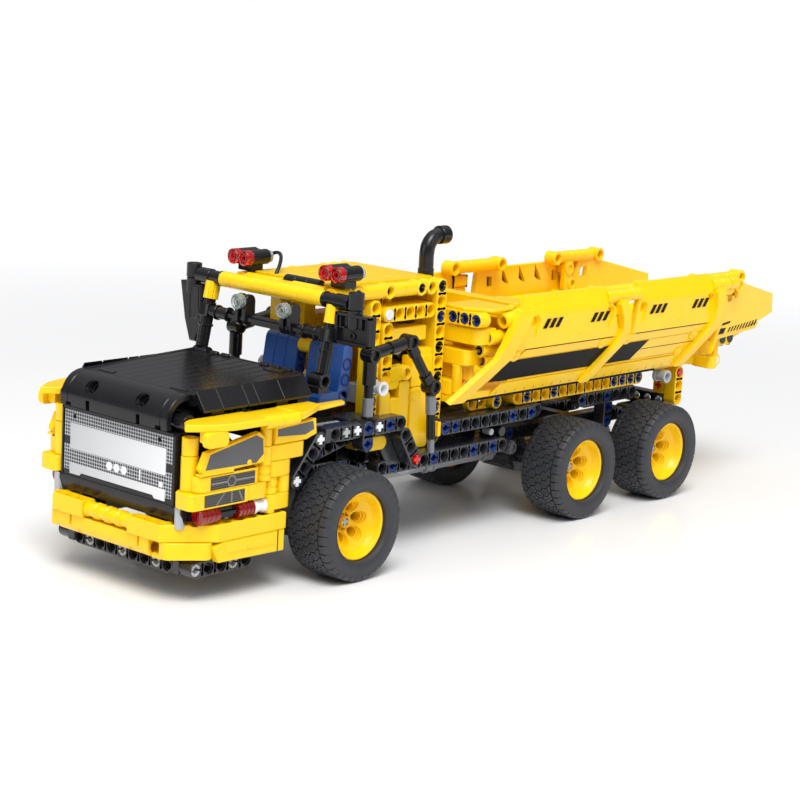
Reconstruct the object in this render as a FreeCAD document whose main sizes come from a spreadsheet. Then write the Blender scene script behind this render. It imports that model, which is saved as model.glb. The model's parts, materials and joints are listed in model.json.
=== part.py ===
# Six-wheel dump truck in construction-set beams: a rigid frame with steered
# front wheels and a tipping load bed. Millimetres, +Z up, front toward -Y,
# +X is the truck's left. The origin is on the ground, at the middle of the
# overall length and width.
import math
import os

import FreeCAD
import Part
import Sketcher

doc = FreeCAD.newDocument("DumpTruck")
dims = doc.addObject("Spreadsheet::Sheet", "dims")
V = FreeCAD.Vector


class Q(object):
    """A number that also knows how it is written with the sheet's aliases."""

    def __init__(self, value, text):
        self.v = float(value)
        self.t = text

    def __add__(self, o):
        o = q(o)
        return Q(self.v + o.v, "(%s + %s)" % (self.t, o.t))

    __radd__ = __add__

    def __sub__(self, o):
        o = q(o)
        return Q(self.v - o.v, "(%s - %s)" % (self.t, o.t))

    def __rsub__(self, o):
        return q(o) - self

    def __mul__(self, o):
        o = q(o)
        return Q(self.v * o.v, "(%s * %s)" % (self.t, o.t))

    __rmul__ = __mul__

    def __truediv__(self, o):
        o = q(o)
        return Q(self.v / o.v, "(%s / %s)" % (self.t, o.t))

    def __neg__(self):
        return Q(-self.v, "(-1 * %s)" % self.t)


def q(a):
    if isinstance(a, Q):
        return a
    return Q(a, "(%r)" % float(a) if a < 0 else "%r" % float(a))


rows = [0]


def dim(alias, value):
    rows[0] += 1
    dims.set("A%d" % rows[0], alias)
    dims.set("B%d" % rows[0], str(value))
    dims.setAlias("B%d" % rows[0], alias)
    return Q(value, "dims." + alias)


# --- driving dimensions -----------------------------------------------------
pitch = dim("pitch", 8.0)
beam = dim("beam", 7.8)
hole_radius = dim("hole_radius", 2.45)
plate = dim("plate", 3.0)
panel = dim("panel", 4.0)

axle_height = dim("axle_height", 28.0)
wheel_radius = dim("wheel_radius", 28.0)
tyre_width = dim("tyre_width", 27.0)
tyre_shoulder = dim("tyre_shoulder", 7.0)
rim_width = dim("rim_width", 20.0)
rim_radius = dim("rim_radius", 15.0)
rim_lip = dim("rim_lip", 17.3)
shaft_radius = dim("shaft_radius", 2.4)
run_gap = dim("run_gap", 0.06)
front_axle_y = dim("front_axle_y", -142.0)
mid_axle_y = dim("mid_axle_y", 50.0)
rear_axle_y = dim("rear_axle_y", 130.0)
front_wheel_x = dim("front_wheel_x", 56.5)
rear_wheel_x = dim("rear_wheel_x", 47.5)
kingpin_x = dim("kingpin_x", 36.0)

rail_x = dim("rail_x", 16.0)
rail_z = dim("rail_z", 44.0)
rail_front_y = dim("rail_front_y", -221.9)
rail_rear_y = dim("rail_rear_y", 162.0)
side_x = dim("side_x", 40.0)
lower_z = dim("lower_z", 47.0)
lower_y = dim("lower_y", -102.0)
upper_z = dim("upper_z", 62.0)
upper_y = dim("upper_y", -54.0)

cab_x = dim("cab_x", 32.0)
roof_z = dim("roof_z", 136.0)
roof_front_y = dim("roof_front_y", -142.0)
cab_rear_y = dim("cab_rear_y", -54.0)

hood_front_y = dim("hood_front_y", -230.0)
hood_rear_y = dim("hood_rear_y", -158.0)
hood_front_z = dim("hood_front_z", 98.5)
hood_rear_z = dim("hood_rear_z", 101.5)
hood_half = dim("hood_half", 40.0)
hood_skirt_x = dim("hood_skirt_x", 46.0)

front_y = dim("front_y", -247.5)
grille_y = dim("grille_y", -241.0)
grille_low_z = dim("grille_low_z", 39.5)
grille_top_z = dim("grille_top_z", 81.5)
bumper_flat_x = dim("bumper_flat_x", 38.5)
bumper_x = dim("bumper_x", 55.0)
bumper_corner_y = dim("bumper_corner_y", -225.0)
bumper_rear_y = dim("bumper_rear_y", -181.5)
bumper_low_z = dim("bumper_low_z", 30.6)
bumper_top_z = dim("bumper_top_z", 39.0)

fender_x = dim("fender_x", 48.0)
fender_z = dim("fender_z", 71.5)
fender_foot_y = dim("fender_foot_y", -171.5)
fender_foot_z = dim("fender_foot_z", 51.5)

bed_floor_z = dim("bed_floor_z", 78.2)
bed_floor_x = dim("bed_floor_x", 44.0)
bed_slope = dim("bed_slope", 27.0)
bed_lower_run = dim("bed_lower_run", 29.0)
bed_lean = dim("bed_lean", 3.0)
bed_upper_run = dim("bed_upper_run", 18.8)
bed_front_y = dim("bed_front_y", -57.0)
bed_rear_y = dim("bed_rear_y", 132.0)
bed_rail_z = dim("bed_rail_z", 126.0)
bed_rail_x = dim("bed_rail_x", 57.5)
tail_y = dim("tail_y", 247.5)
hinge_y = dim("hinge_y", 158.0)
hinge_z = dim("hinge_z", 70.0)
hoist_base_y = dim("hoist_base_y", 0.0)
hoist_base_z = dim("hoist_base_z", 46.0)
hoist_eye_y = dim("hoist_eye_y", 98.0)
hoist_eye_z = dim("hoist_eye_z", 69.0)

cheek_mid_z = dim("cheek_mid_z", 55.4)
cheek_top_z = dim("cheek_top_z", 63.2)
exhaust_x = dim("exhaust_x", 20.0)
exhaust_y = dim("exhaust_y", -49.9)
exhaust_top_z = dim("exhaust_top_z", 165.0)
doc.recompute()

# --- helpers ----------------------------------------------------------------
PLACE = {"x": "Placement.Base.x", "y": "Placement.Base.y", "z": "Placement.Base.z"}
count = {}


def fresh(kind):
    count[kind] = count.get(kind, 0) + 1
    return "%s_%03d" % (kind, count[kind])


def bind(obj, prop, value):
    value = q(value)
    setattr(obj, prop, value.v)
    if "dims." in value.t:
        obj.setExpression(prop, value.t)


def place(obj, x, y, z, rot=None):
    x, y, z = q(x), q(y), q(z)
    obj.Placement = FreeCAD.Placement(V(x.v, y.v, z.v), rot or FreeCAD.Rotation())
    for key, value in (("x", x), ("y", y), ("z", z)):
        if "dims." in value.t:
            obj.setExpression(PLACE[key], value.t)
    return obj


ALONG = {
    "z": FreeCAD.Rotation(),
    "x": FreeCAD.Rotation(V(0, 1, 0), 90),
    "y": FreeCAD.Rotation(V(1, 0, 0), -90),
}


def box(x0, x1, y0, y1, z0, z1):
    b = doc.addObject("Part::Box", fresh("Block"))
    bind(b, "Length", q(x1) - x0)
    bind(b, "Width", q(y1) - y0)
    bind(b, "Height", q(z1) - z0)
    return place(b, x0, y0, z0)


def cyl(axis, radius, x, y, z, length, rot=None):
    c = doc.addObject("Part::Cylinder", fresh("Round"))
    bind(c, "Radius", radius)
    bind(c, "Height", length)
    return place(c, x, y, z, rot or ALONG[axis])


def rod(radius, a, b):
    """Round bar between two points."""
    a = V(*[q(i).v for i in a])
    b = V(*[q(i).v for i in b])
    c = doc.addObject("Part::Cylinder", fresh("Bar"))
    bind(c, "Radius", radius)
    c.Height = (b - a).Length
    c.Placement = FreeCAD.Placement(a, FreeCAD.Rotation(V(0, 0, 1), b - a))
    return c


def ball(radius, x, y, z):
    s = doc.addObject("Part::Sphere", fresh("Ball"))
    bind(s, "Radius", radius)
    return place(s, x, y, z)


def fuse(parts):
    if len(parts) == 1:
        return parts[0]
    f = doc.addObject("Part::MultiFuse", fresh("Joined"))
    f.Shapes = parts
    return f


def cut(base, tools):
    c = doc.addObject("Part::Cut", fresh("Opened"))
    c.Base = base
    c.Tool = fuse(tools) if isinstance(tools, list) else tools
    return c


def origin_plane(body, role):
    for f in body.Origin.OriginFeatures:
        if f.Role == role:
            return f
    raise RuntimeError(role)


def outline(body, role, pts, circles=(), arcs=None):
    """Closed outline with every corner tied to the sheet; arcs maps the index
    of an edge to the point that its arc passes through."""
    sk = body.newObject("Sketcher::SketchObject", fresh("Outline"))
    sk.AttachmentSupport = [(origin_plane(body, role), "")]
    sk.MapMode = "FlatFace"
    pts = [(q(a), q(b)) for a, b in pts]
    n = len(pts)
    geo = []
    flipped = set()
    arcs = arcs or {}
    for i in range(n):
        a, b = pts[i], pts[(i + 1) % n]
        pa, pb = V(a[0].v, a[1].v, 0), V(b[0].v, b[1].v, 0)
        if i in arcs:
            m = V(q(arcs[i][0]).v, q(arcs[i][1]).v, 0)
            # arcs are stored counter-clockwise, so some run from pb to pa
            turn = (m - pa).cross(pb - m).z
            geo.append(Part.Arc(pa, m, pb) if turn > 0 else Part.Arc(pb, m, pa))
            if turn < 0:
                flipped.add(i)
        else:
            geo.append(Part.LineSegment(pa, pb))
    ids = list(sk.addGeometry(geo, False))
    con = []
    exprs = []
    starts, ends = {}, {}
    for i in range(n):
        starts[i], ends[i] = (2, 1) if i in flipped else (1, 2)
    for i in range(n):
        j = (i + 1) % n
        con.append(Sketcher.Constraint("Coincident", ids[i], ends[i], ids[j], starts[j]))
    for i in range(n):
        for kind, value, axis_id in (("DistanceX", pts[i][0], -2), ("DistanceY", pts[i][1], -1)):
            if abs(value.v) < 1e-9:
                con.append(Sketcher.Constraint("PointOnObject", ids[i], starts[i], axis_id))
                continue
            if value.v > 0:
                con.append(Sketcher.Constraint(kind, -1, 1, ids[i], starts[i], value.v))
                txt = value.t
            else:
                con.append(Sketcher.Constraint(kind, ids[i], starts[i], -1, 1, -value.v))
                txt = (-value).t
            if "dims." in txt:
                exprs.append((len(con) - 1, txt))
        if i in arcs:
            if len(arcs[i]) == 3:
                # a half round end: its centre is level with its two corners
                cx = q(arcs[i][2])
                if abs(cx.v) < 1e-9:
                    con.append(Sketcher.Constraint("PointOnObject", ids[i], 3, -2))
                else:
                    con.append(Sketcher.Constraint("DistanceX", -1, 1, ids[i], 3, cx.v))
                    exprs.append((len(con) - 1, cx.t))
            else:
                con.append(Sketcher.Constraint("Radius", ids[i], sk.Geometry[ids[i]].Radius))
    for cx, cy, r in circles:
        cx, cy, r = q(cx), q(cy), q(r)
        g = sk.addGeometry(Part.Circle(V(cx.v, cy.v, 0), V(0, 0, 1), r.v), False)
        con.append(Sketcher.Constraint("Radius", g, r.v))
        exprs.append((len(con) - 1, r.t))
        for kind, value, axis_id in (("DistanceX", cx, -2), ("DistanceY", cy, -1)):
            if abs(value.v) < 1e-9:
                con.append(Sketcher.Constraint("PointOnObject", g, 3, axis_id))
                continue
            if value.v > 0:
                con.append(Sketcher.Constraint(kind, -1, 1, g, 3, value.v))
                txt = value.t
            else:
                con.append(Sketcher.Constraint(kind, g, 3, -1, 1, -value.v))
                txt = (-value).t
            exprs.append((len(con) - 1, txt))
    sk.addConstraint(con)
    for i, txt in exprs:
        if "dims." in txt:
            sk.setExpression("Constraints[%d]" % i, txt)
    return sk


ROLES = {"x": "YZ_Plane", "y": "XZ_Plane", "z": "XY_Plane"}


def prism(axis, pts, a0, a1, circles=(), arcs=None, rot=None, at=None, back=False):
    """Outline padded along an axis from a0 to a1. Outline coordinates are
    (Y, Z) along x, (X, Z) along y and (X, Y) along z."""
    body = doc.addObject("PartDesign::Body", fresh("Panel"))
    sk = outline(body, ROLES[axis], pts, circles, arcs)
    pad = body.newObject("PartDesign::Pad", fresh("Pad"))
    pad.Profile = sk
    bind(pad, "Length", q(a1) - a0)
    pad.Reversed = back
    base = {"x": (a0, 0, 0), "y": (0, a1, 0), "z": (0, 0, a0)}[axis]
    if at is None:
        place(body, *base)
    else:
        place(body, at[0], at[1], at[2], rot)
    return body


def liftarm(holes, x, y, z, run, pin, width=None):
    """Straight beam with round ends and a row of pin holes, centred on its
    first hole; run is the beam's direction and pin the holes' direction."""
    body = doc.addObject("PartDesign::Body", fresh("Liftarm"))
    half = beam / 2
    end = pitch * (holes - 1)
    circles = [(pitch * i, 0, hole_radius) for i in range(holes)]
    pts = [(0, -half), (end, -half), (end, half), (0, half)]
    arcs = {1: (end.v + half.v, 0, end), 3: (-half.v, 0, 0)}
    sk = outline(body, "XY_Plane", pts, circles, arcs)
    pad = body.newObject("PartDesign::Pad", fresh("Pad"))
    pad.Profile = sk
    bind(pad, "Length", width or beam)
    pad.Midplane = True
    run, pin = V(*run), V(*pin)
    run.normalize()
    side = pin.cross(run)
    return place(body, x, y, z, FreeCAD.Rotation(run, side, pin, "XYZ"))


nodes = []


def node(label, parts):
    if len(parts) == 1:
        obj = parts[0]
    else:
        obj = doc.addObject("Part::Compound", fresh("Set"))
        obj.Links = parts
    obj.Label = label
    nodes.append(obj)
    return obj


X, Y, Z = (1, 0, 0), (0, 1, 0), (0, 0, 1)
half = beam / 2

# --- chassis ----------------------------------------------------------------
node("chassis_rails", [box(s * rail_x - half, s * rail_x + half, rail_front_y, rail_rear_y,
                          rail_z - half, rail_z + half) for s in (1, -1)])
parts = []
# cross beams sit on the rails and carry the side beams
for cy, hx in ((-102.0, 36.0),):
    parts.append(box(-hx, hx, cy - half, cy + half, rail_z + half, rail_z + half + beam))
parts.append(box(-36.0, 36.0, rail_rear_y - beam, rail_rear_y, rail_z + half,
                 rail_z + half + beam))
parts.append(box(-rail_x + half, rail_x - half, 86.0, 94.0, rail_z - half, rail_z + half))
parts.append(box(-46.0, 46.0, -198.0, -190.0, rail_z - half - beam, rail_z - half))
# hoist ears on the front cross piece
ears = [box(-rail_x + half, rail_x - half, -30.0, -22.0, rail_z - half, rail_z + half),
        cyl("x", shaft_radius, -10.9, hoist_base_y, hoist_base_z, 21.8)]
for s in (1, -1):
    ears.append(box(s * 9.0 - 1.9, s * 9.0 + 1.9, hoist_base_y - 22, hoist_base_y + 3,
                    rail_z - half, hoist_base_z + 5.0))
parts.append(fuse(ears))
# raised beams beside the hoist, over the rear wheels
for s in (1, -1):
    parts.append(fuse([
        liftarm(7, s * 33.0, 74.0, 61.0, Y, X, 6.0),
        box(s * 25.5 - 4.6, s * 25.5 + 4.6, 104.0, 112.0, 40.1, 65.0),
        box(s * 21.5 - 1.6, s * 21.5 + 1.6, 104.0, 112.0, rail_z - half, rail_z + half)]))
node("chassis_frame", parts)

node("lower_side_beams", [liftarm(13, s * side_x, lower_y, lower_z, Y, X) for s in (1, -1)])
node("upper_side_beams", [liftarm(11, s * side_x, upper_y, upper_z, Y, X) for s in (1, -1)])
decks = []
for s in (1, -1):
    lo, hi = (rail_x + half, side_x - half) if s > 0 else (-side_x + half, -rail_x - half)
    decks.append(fuse([
        box(lo, hi, -98.0, -4.0, lower_z - 2, lower_z + half),
        box(lo, hi, -50.0, 28.0, upper_z - 2, upper_z + half),
        box(lo if s > 0 else hi - 4.0, (lo + 4.0) if s > 0 else hi, -50.0, -6.0,
            lower_z, upper_z)]))
node("side_decks", decks)

parts = []
for ay in (mid_axle_y, rear_axle_y):
    body = [box(-rail_x + half, rail_x - half, ay - 9, ay + 9, axle_height - 10, rail_z - half)]
    for s in (1, -1):
        body.append(cyl("x", 4.5, 10.0 if s > 0 else -32.0, ay, axle_height, 22.0))
    parts.append(cut(fuse(body), [
        cyl("x", shaft_radius + run_gap, 19.0, ay, axle_height, 20.0),
        cyl("x", shaft_radius + run_gap, -39.0, ay, axle_height, 20.0)]))
parts.append(fuse([
    box(-10.0, 10.0, -112.0, -84.0, axle_height - 8, rail_z + half),
    cyl("y", 2.4, 0, -85.0, axle_height, mid_axle_y - 9 + 85.0),
    cyl("y", 3.9, 0, -30.0, axle_height, 16.0)]))
parts.append(cyl("y", 2.4, 0, mid_axle_y + 9, axle_height, rear_axle_y - mid_axle_y - 18))
node("drivetrain", parts)

# --- tipping hinge ----------------------------------------------------------
posts = []
for s in (1, -1):
    posts.append(liftarm(3, s * side_x, hinge_y, hinge_z - 16, Z, X))
node("rear_posts", posts)
node("bed_hinge_pin", [cyl("x", shaft_radius, -46.0, hinge_y, hinge_z, 92.0)])

# --- front bumper -----------------------------------------------------------
parts = []
for s in (1, -1):
    t = beam
    pts = [(16.0, front_y), (bumper_flat_x, front_y), (bumper_x, bumper_corner_y),
           (bumper_x, bumper_rear_y), (bumper_x - t, bumper_rear_y),
           (bumper_x - t, bumper_corner_y + 2.4), (bumper_flat_x - 4.0, front_y + t),
           (16.0, front_y + t)]
    parts.append(prism("z", [(s * a, b) for a, b in pts], bumper_low_z, bumper_top_z))
parts.append(cyl("x", 4.1, -16.0, front_y + 4.2, (bumper_low_z + bumper_top_z) / 2, 32.0))
node("front_bumper", [fuse(parts)])

parts = [prism("x", [(front_y + 1.0, 30.6), (front_y + 1.0, 26.5), (front_y + 4.5, 22.0),
                     (front_y + 10.0, 21.0), (front_y + 12.0, 30.6)], -36.0, 36.0,
               arcs={1: (front_y.v + 2.1, 23.7)})]
for s in (1, -1):
    pts = [(36.5, front_y + 1.0), (bumper_flat_x, front_y + 0.6),
           (bumper_x - 4.0, bumper_corner_y - 5.0), (bumper_x - 9.0, bumper_corner_y - 1.0),
           (36.5, front_y + 9.0)]
    parts.append(prism("z", [(s * a, b) for a, b in pts], 22.4, bumper_low_z))
    pts = [(-228.0, 28.0), (-224.0, 20.6), (bumper_rear_y, 19.8), (bumper_rear_y, bumper_low_z),
           (-222.0, bumper_low_z)]
    x0 = bumper_x - 5.0 if s > 0 else -bumper_x
    parts.append(prism("x", pts, x0, x0 + 5.0))
node("bumper_lower", parts)

parts = [box(-36.0, 36.0, -236.0, -228.2, 12.8, 20.6)]
for s in (1, -1):
    parts.append(liftarm(5, s * 44.0, -232.0, 16.7, Y, X))
    parts.append(box(s * 38.0 - 2.2, s * 38.0 + 2.2, -236.0, -228.2, 12.8, 20.6))
    parts.append(box(s * 30.0 - 4.0, s * 30.0 + 4.0, -233.0, -225.0, 20.0, rail_z - half))
    parts.append(box(s * 23.0 - 7.0, s * 23.0 + 7.0, -233.0, -222.0, 32.0, rail_z + half))
node("bumper_brackets", [fuse(parts)])

# --- grille, cheeks, hood ---------------------------------------------------
node("grille_panel", [fuse([prism("x", [
    (grille_y, grille_top_z), (grille_y, 44.5), (grille_y + 1.6, grille_low_z),
    (grille_y + 7.0, grille_low_z), (grille_y + 7.0, grille_top_z)], -40.3, 40.3),
    prism("x", [(grille_y, 47.4), (grille_y, 44.5), (grille_y + 1.6, grille_low_z),
                (grille_y + 4.0, grille_low_z), (grille_y + 4.0, 47.4)], 40.2, 46.0),
    prism("x", [(grille_y, 47.4), (grille_y, 44.5), (grille_y + 1.6, grille_low_z),
                (grille_y + 4.0, grille_low_z), (grille_y + 4.0, 47.4)], -46.0, -40.2)])])

cheeks, wedges, wings = [], [], []
for s in (1, -1):
    def xs(pts):
        return [(s * a, b) for a, b in pts]
    low = prism("z", xs([(41.2, -243.0), (51.0, -243.0), (bumper_x, -239.0),
                         (bumper_x, -207.4), (41.2, -207.4)]), 47.6, cheek_mid_z)
    high = prism("z", xs([(41.2, -238.5), (52.0, -238.5), (bumper_x, -234.5),
                          (bumper_x, -199.8), (41.2, -199.8)]), cheek_mid_z, cheek_top_z)
    post = cyl("z", 4.1, s * 45.4, -236.2, cheek_mid_z, 25.1)
    stack = [box(*(sorted([s * 45.0, s * 54.6]) + [-207.8, -192.8, 47.6, cheek_mid_z])),
             box(*(sorted([s * 47.6, s * 54.6]) + [-192.9, -177.8, bumper_top_z, cheek_top_z])),
             box(*(sorted([s * 45.0, s * 51.3]) + [-200.0, -177.8, cheek_mid_z, 72.0])),
             box(*(sorted([s * 45.0, s * 54.6]) + [-192.0, -169.6, cheek_top_z, 72.4])),
             box(*(sorted([s * 36.0, s * 46.0]) + [-200.0, -184.0, rail_z + half, 66.0])),
             box(*(sorted([s * 27.9, s * 37.0]) + [-200.0, -184.0, 52.0, 62.0]))]
    cheeks.append(fuse([low, high, post] + stack))
    wedges.append(prism("x", [(-238.4, 67.0), (-234.4, 74.6), (-201.0, 80.6), (-163.5, 82.6),
                              (-162.6, 74.6), (-169.6, 72.5), (-196.6, 72.5), (-197.0, 65.0),
                              (-200.0, cheek_top_z + 0.1), (-235.8, cheek_top_z + 0.1)],
                        bumper_x - 3.6 if s > 0 else -bumper_x - 0.4,
                        bumper_x + 0.4 if s > 0 else -bumper_x + 3.6))
    wings.append(prism("z", xs([(44.1, -239.0), (52.0, -246.0), (60.0, -235.0), (63.0, -214.0),
                                (63.0, -198.0), (59.5, -179.0), (52.0, -158.5), (44.1, -158.5)]),
                       84.4, 88.6))
node("cheek_stacks", cheeks)
node("cheek_wedges", wedges)
node("wing_panels", wings)

slope_z = (hood_rear_z - hood_front_z)
node("hood_top", [prism("x", [
    (hood_front_y, hood_front_z), (hood_front_y, hood_front_z - 6), (hood_rear_y, hood_rear_z - 6),
    (hood_rear_y, hood_rear_z)], -hood_half, hood_half)])
parts = []
for s in (1, -1):
    parts.append(prism("y", [(s * (hood_half + 0.05), 99.5), (s * hood_skirt_x, 91.6),
                             (s * (hood_skirt_x - 2.4), 91.6), (s * (hood_half + 0.05), 93.6)],
                       hood_front_y + 1.0, hood_rear_y))
node("hood_side_panels", parts)
node("hood_cowl", [prism("x", [
    (hood_front_y - 0.2, hood_front_z), (-244.0, 87.0), (-241.2, 86.0),
    (hood_front_y - 0.2, hood_front_z - 5.0)], -38.0, 38.0,
    arcs={0: (-240.4, 95.6), 2: (-237.6, 91.6)})])
parts = [box(-36.0, 36.0, -233.8, -226.0, rail_z + half, 90.0),
         cyl("x", 4.0, -44.0, -236.0, 86.2, 88.0),
         box(-27.9, 27.9, -168.0, -160.0, 66.0, 94.0)]
for s in (1, -1):
    parts.append(box(*(sorted([s * 20.0, s * 27.9]) + [-228.0, -160.0, rail_z + half, 91.0])))
    parts.append(box(*(sorted([s * 24.0, s * 43.9]) + [-222.0, -214.0, 83.0, 91.4])))
    parts.append(box(*(sorted([s * 24.0, s * 43.9]) + [-180.0, -172.0, 83.0, 91.4])))
node("hood_supports", [fuse(parts)])

# --- lamps on the bumper and the roof ---------------------------------------
parts = []
for s in (1, -1):
    parts.append(fuse([cyl("y", 2.4, s * 51.0, -235.0, 43.3, 42.0),
                       cyl("y", 4.2, s * 51.0, -235.0, 43.3, 12.0),
                       cyl("y", 4.2, s * 51.0, -211.5, 43.3, 10.0),
                       cyl("y", 3.9, s * 51.0, -201.2, 43.3, 8.2)]))
side_lamps = parts
parts = []
for s in (1, -1):
    for a in (28.4, 36.6):
        parts.append(cyl("y", 4.0, s * a, -136.0, 147.2, 20.0))
    parts.append(box(*(sorted([s * 28.1, s * 38.0]) + [-130.0, -122.0, 139.9, 147.0])))
node("lamps", side_lamps + [fuse(parts[0:3]), fuse(parts[3:6])])

# --- front fenders ----------------------------------------------------------
arms, tops = [], []
for s in (1, -1):
    run = math.sqrt((fender_z.v - fender_foot_z.v) ** 2 + 16.0 ** 2)
    up = (0, 16.0 / run, (fender_z.v - fender_foot_z.v) / run)
    knee_y = fender_foot_y + 16.0
    slope = liftarm(4, s * fender_x, fender_foot_y, fender_foot_z, up, X)
    top = liftarm(8, s * fender_x, knee_y + 1.0, fender_z, Y, X)
    down = liftarm(4, s * fender_x, knee_y + 57.0, fender_z, (0, 0.53, -0.85), X)
    arms.append(fuse([slope, top, down,
                      cyl("x", 2.4, 44.1 if s > 0 else -54.0, -86.0, 49.5, 9.9)]))
    x0, x1 = sorted([s * 28.2, s * (fender_x.v - 4.0)])
    x2, x3 = sorted([s * 36.1, s * (fender_x.v - 4.0)])
    tops.append(fuse([
        prism("x", [(-176.0, 50.5), (-160.0, 73.4), (-114.5, 73.4), (-114.5, 69.4),
                    (-157.5, 69.4), (-172.6, 48.0)], x0, x1),
        box(x2, x3, -114.6, -99.0, 69.4, 73.4)]))
node("front_fenders", arms)
node("fender_panels", tops)

# --- cab --------------------------------------------------------------------
node("cab_floor", [fuse([box(-27.9, 27.9, -152.0, -58.2, 62.0, 66.0),
                         box(-27.9, 27.9, -158.0, -152.0, 62.0, 96.0),
                         box(-36.0, 36.0, -158.0, -152.0, 75.0, 96.0),
                         box(-24.0, 24.0, -116.0, -106.2, rail_z + half, 62.1),
                         box(-19.7, 19.7, -72.0, -64.0, rail_z + half, 62.1)])])
parts = []
for s in (1, -1):
    x0, x1 = sorted([s * 4.0, s * 28.0])
    parts.append(fuse([
        box(x0, x1, -134.0, -114.0, 78.0, 86.0),
        prism("x", [(-121.0, 80.0), (-114.0, 80.0), (-111.0, 109.0), (-118.0, 109.0)], x0, x1),
        box(s * 16.0 - 6.0, s * 16.0 + 6.0, -130.0, -118.0, 66.0, 78.1)]))
parts.append(box(-4.1, 4.1, -118.5, -112.0, 100.0, 106.0))
node("seats", [fuse(parts)])

parts = []
for s in (1, -1):
    pillar = liftarm(8, s * cab_x, -110.0, roof_z - beam - 56.0, Z, X)
    arm = liftarm(5, s * cab_x, -94.0, 124.0, Y, X)
    x0, x1 = sorted([s * 28.1, s * 35.9])
    low = box(x0, x1, -98.0, -58.0, 51.0, 84.2)
    mid = box(x0, x1, -92.0, -58.0, 84.0, 93.0)
    foot = box(x0, x1, -113.8, -106.0, 56.0, 76.0)
    strut = box(x0, x1, -106.2, -98.0, 56.0, 84.2)
    parts.append(fuse([pillar, low, mid, foot, strut, arm,
                       box(x0, x1, -92.0, -84.0, 92.0, 121.0)]))
node("cab_side_frames", parts)
node("cab_rear_wall", [box(-28.0, 28.0, -58.0, -54.0, 62.0, 132.0)])
node("tall_beams", [liftarm(11, s * cab_x, cab_rear_y, roof_z, (0, 0, -1), X) for s in (1, -1)])
node("roof_side_beams", [liftarm(10, s * cab_x, roof_front_y + 8, roof_z, Y, X)
                         for s in (1, -1)])
node("roof_panels", [fuse([box(-28.0, 28.0, -137.0, -54.0, 134.0, 140.4),
                           box(-28.0, 28.0, -59.0, -54.0, 132.1, 134.1)])])
bar = [cyl("x", 4.0, -36.0, roof_front_y, roof_z, 72.0)]
node("roof_front_bar", [fuse(bar)])

parts = []
for s in (1, -1):
    parts += [rod(3.3, (s * 43.0, -149.5, 98.0), (s * 43.0, -142.3, 133.5)),
              cyl("x", 4.0, 36.0 if s > 0 else -54.0, roof_front_y, roof_z, 17.0 if s > 0 else 18.0),
              ball(4.4, s * 43.0, -149.5, 99.0),
              box(*(sorted([s * 36.0, s * 46.0]) + [-154.0, -146.0, 91.0, 99.0]))]
parts.append(cyl("x", 2.4, -43.0, -145.4, 119.0, 86.0))
for a in (-16.0, 16.0):
    parts.append(box(a - 3.9, a + 3.9, -149.0, -142.0, 115.0, 128.0))
    parts.append(cyl("y", 4.0, a, -152.0, 127.8, 12.0))
node("windscreen_frame", [fuse(parts)])

parts = [fuse([box(47.0, 70.0, -146.0, -141.0, 119.5, 131.8),
               cyl("z", 4.0, 57.0, -142.0, 124.0, 18.0)]),
         fuse([prism("y", [(-66.0, 131.6), (-50.0, 131.6), (-48.0, 112.0), (-53.0, 101.0),
                           (-58.0, 101.0), (-62.0, 112.0)], -145.0, -140.0),
               cyl("z", 4.0, -58.0, -142.0, 126.0, 15.5)])]
node("mirrors", parts)

parts = []
for s in (1, -1):
    pts = [(s * fender_x.v, -120.0, 76.0), (s * fender_x.v, -120.0, 108.0),
           (s * fender_x.v, -92.0, 112.0), (s * fender_x.v, -73.0, 87.0),
           (s * fender_x.v, -70.0, 52.5)]
    one = [rod(2.9, pts[i], pts[i + 1]) for i in range(4)]
    one += [ball(3.9, *p) for p in pts[1:4]]
    parts.append(fuse(one))
node("handrails", parts)

elbow = doc.addObject("Part::Torus", "ExhaustElbow")
elbow.Radius1, elbow.Radius2, elbow.Angle3 = 9.0, 4.0, 90.0
place(elbow, exhaust_x, exhaust_y + 9.0, exhaust_top_z - 5.0 - 9.0,
      FreeCAD.Rotation(V(0, -1, 0), V(0, 0, 1), V(-1, 0, 0), "XYZ"))
node("exhaust_pipe", [fuse([
    cyl("z", 4.0, exhaust_x, exhaust_y, 118.0, exhaust_top_z - 14.0 - 118.0),
    elbow,
    cyl("y", 5.0, exhaust_x, exhaust_y + 9.0, exhaust_top_z - 5.0, 6.0),
    box(exhaust_x - 4.0, exhaust_x + 4.0, -54.0, exhaust_y, 118.0, 126.0)])])

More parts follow.
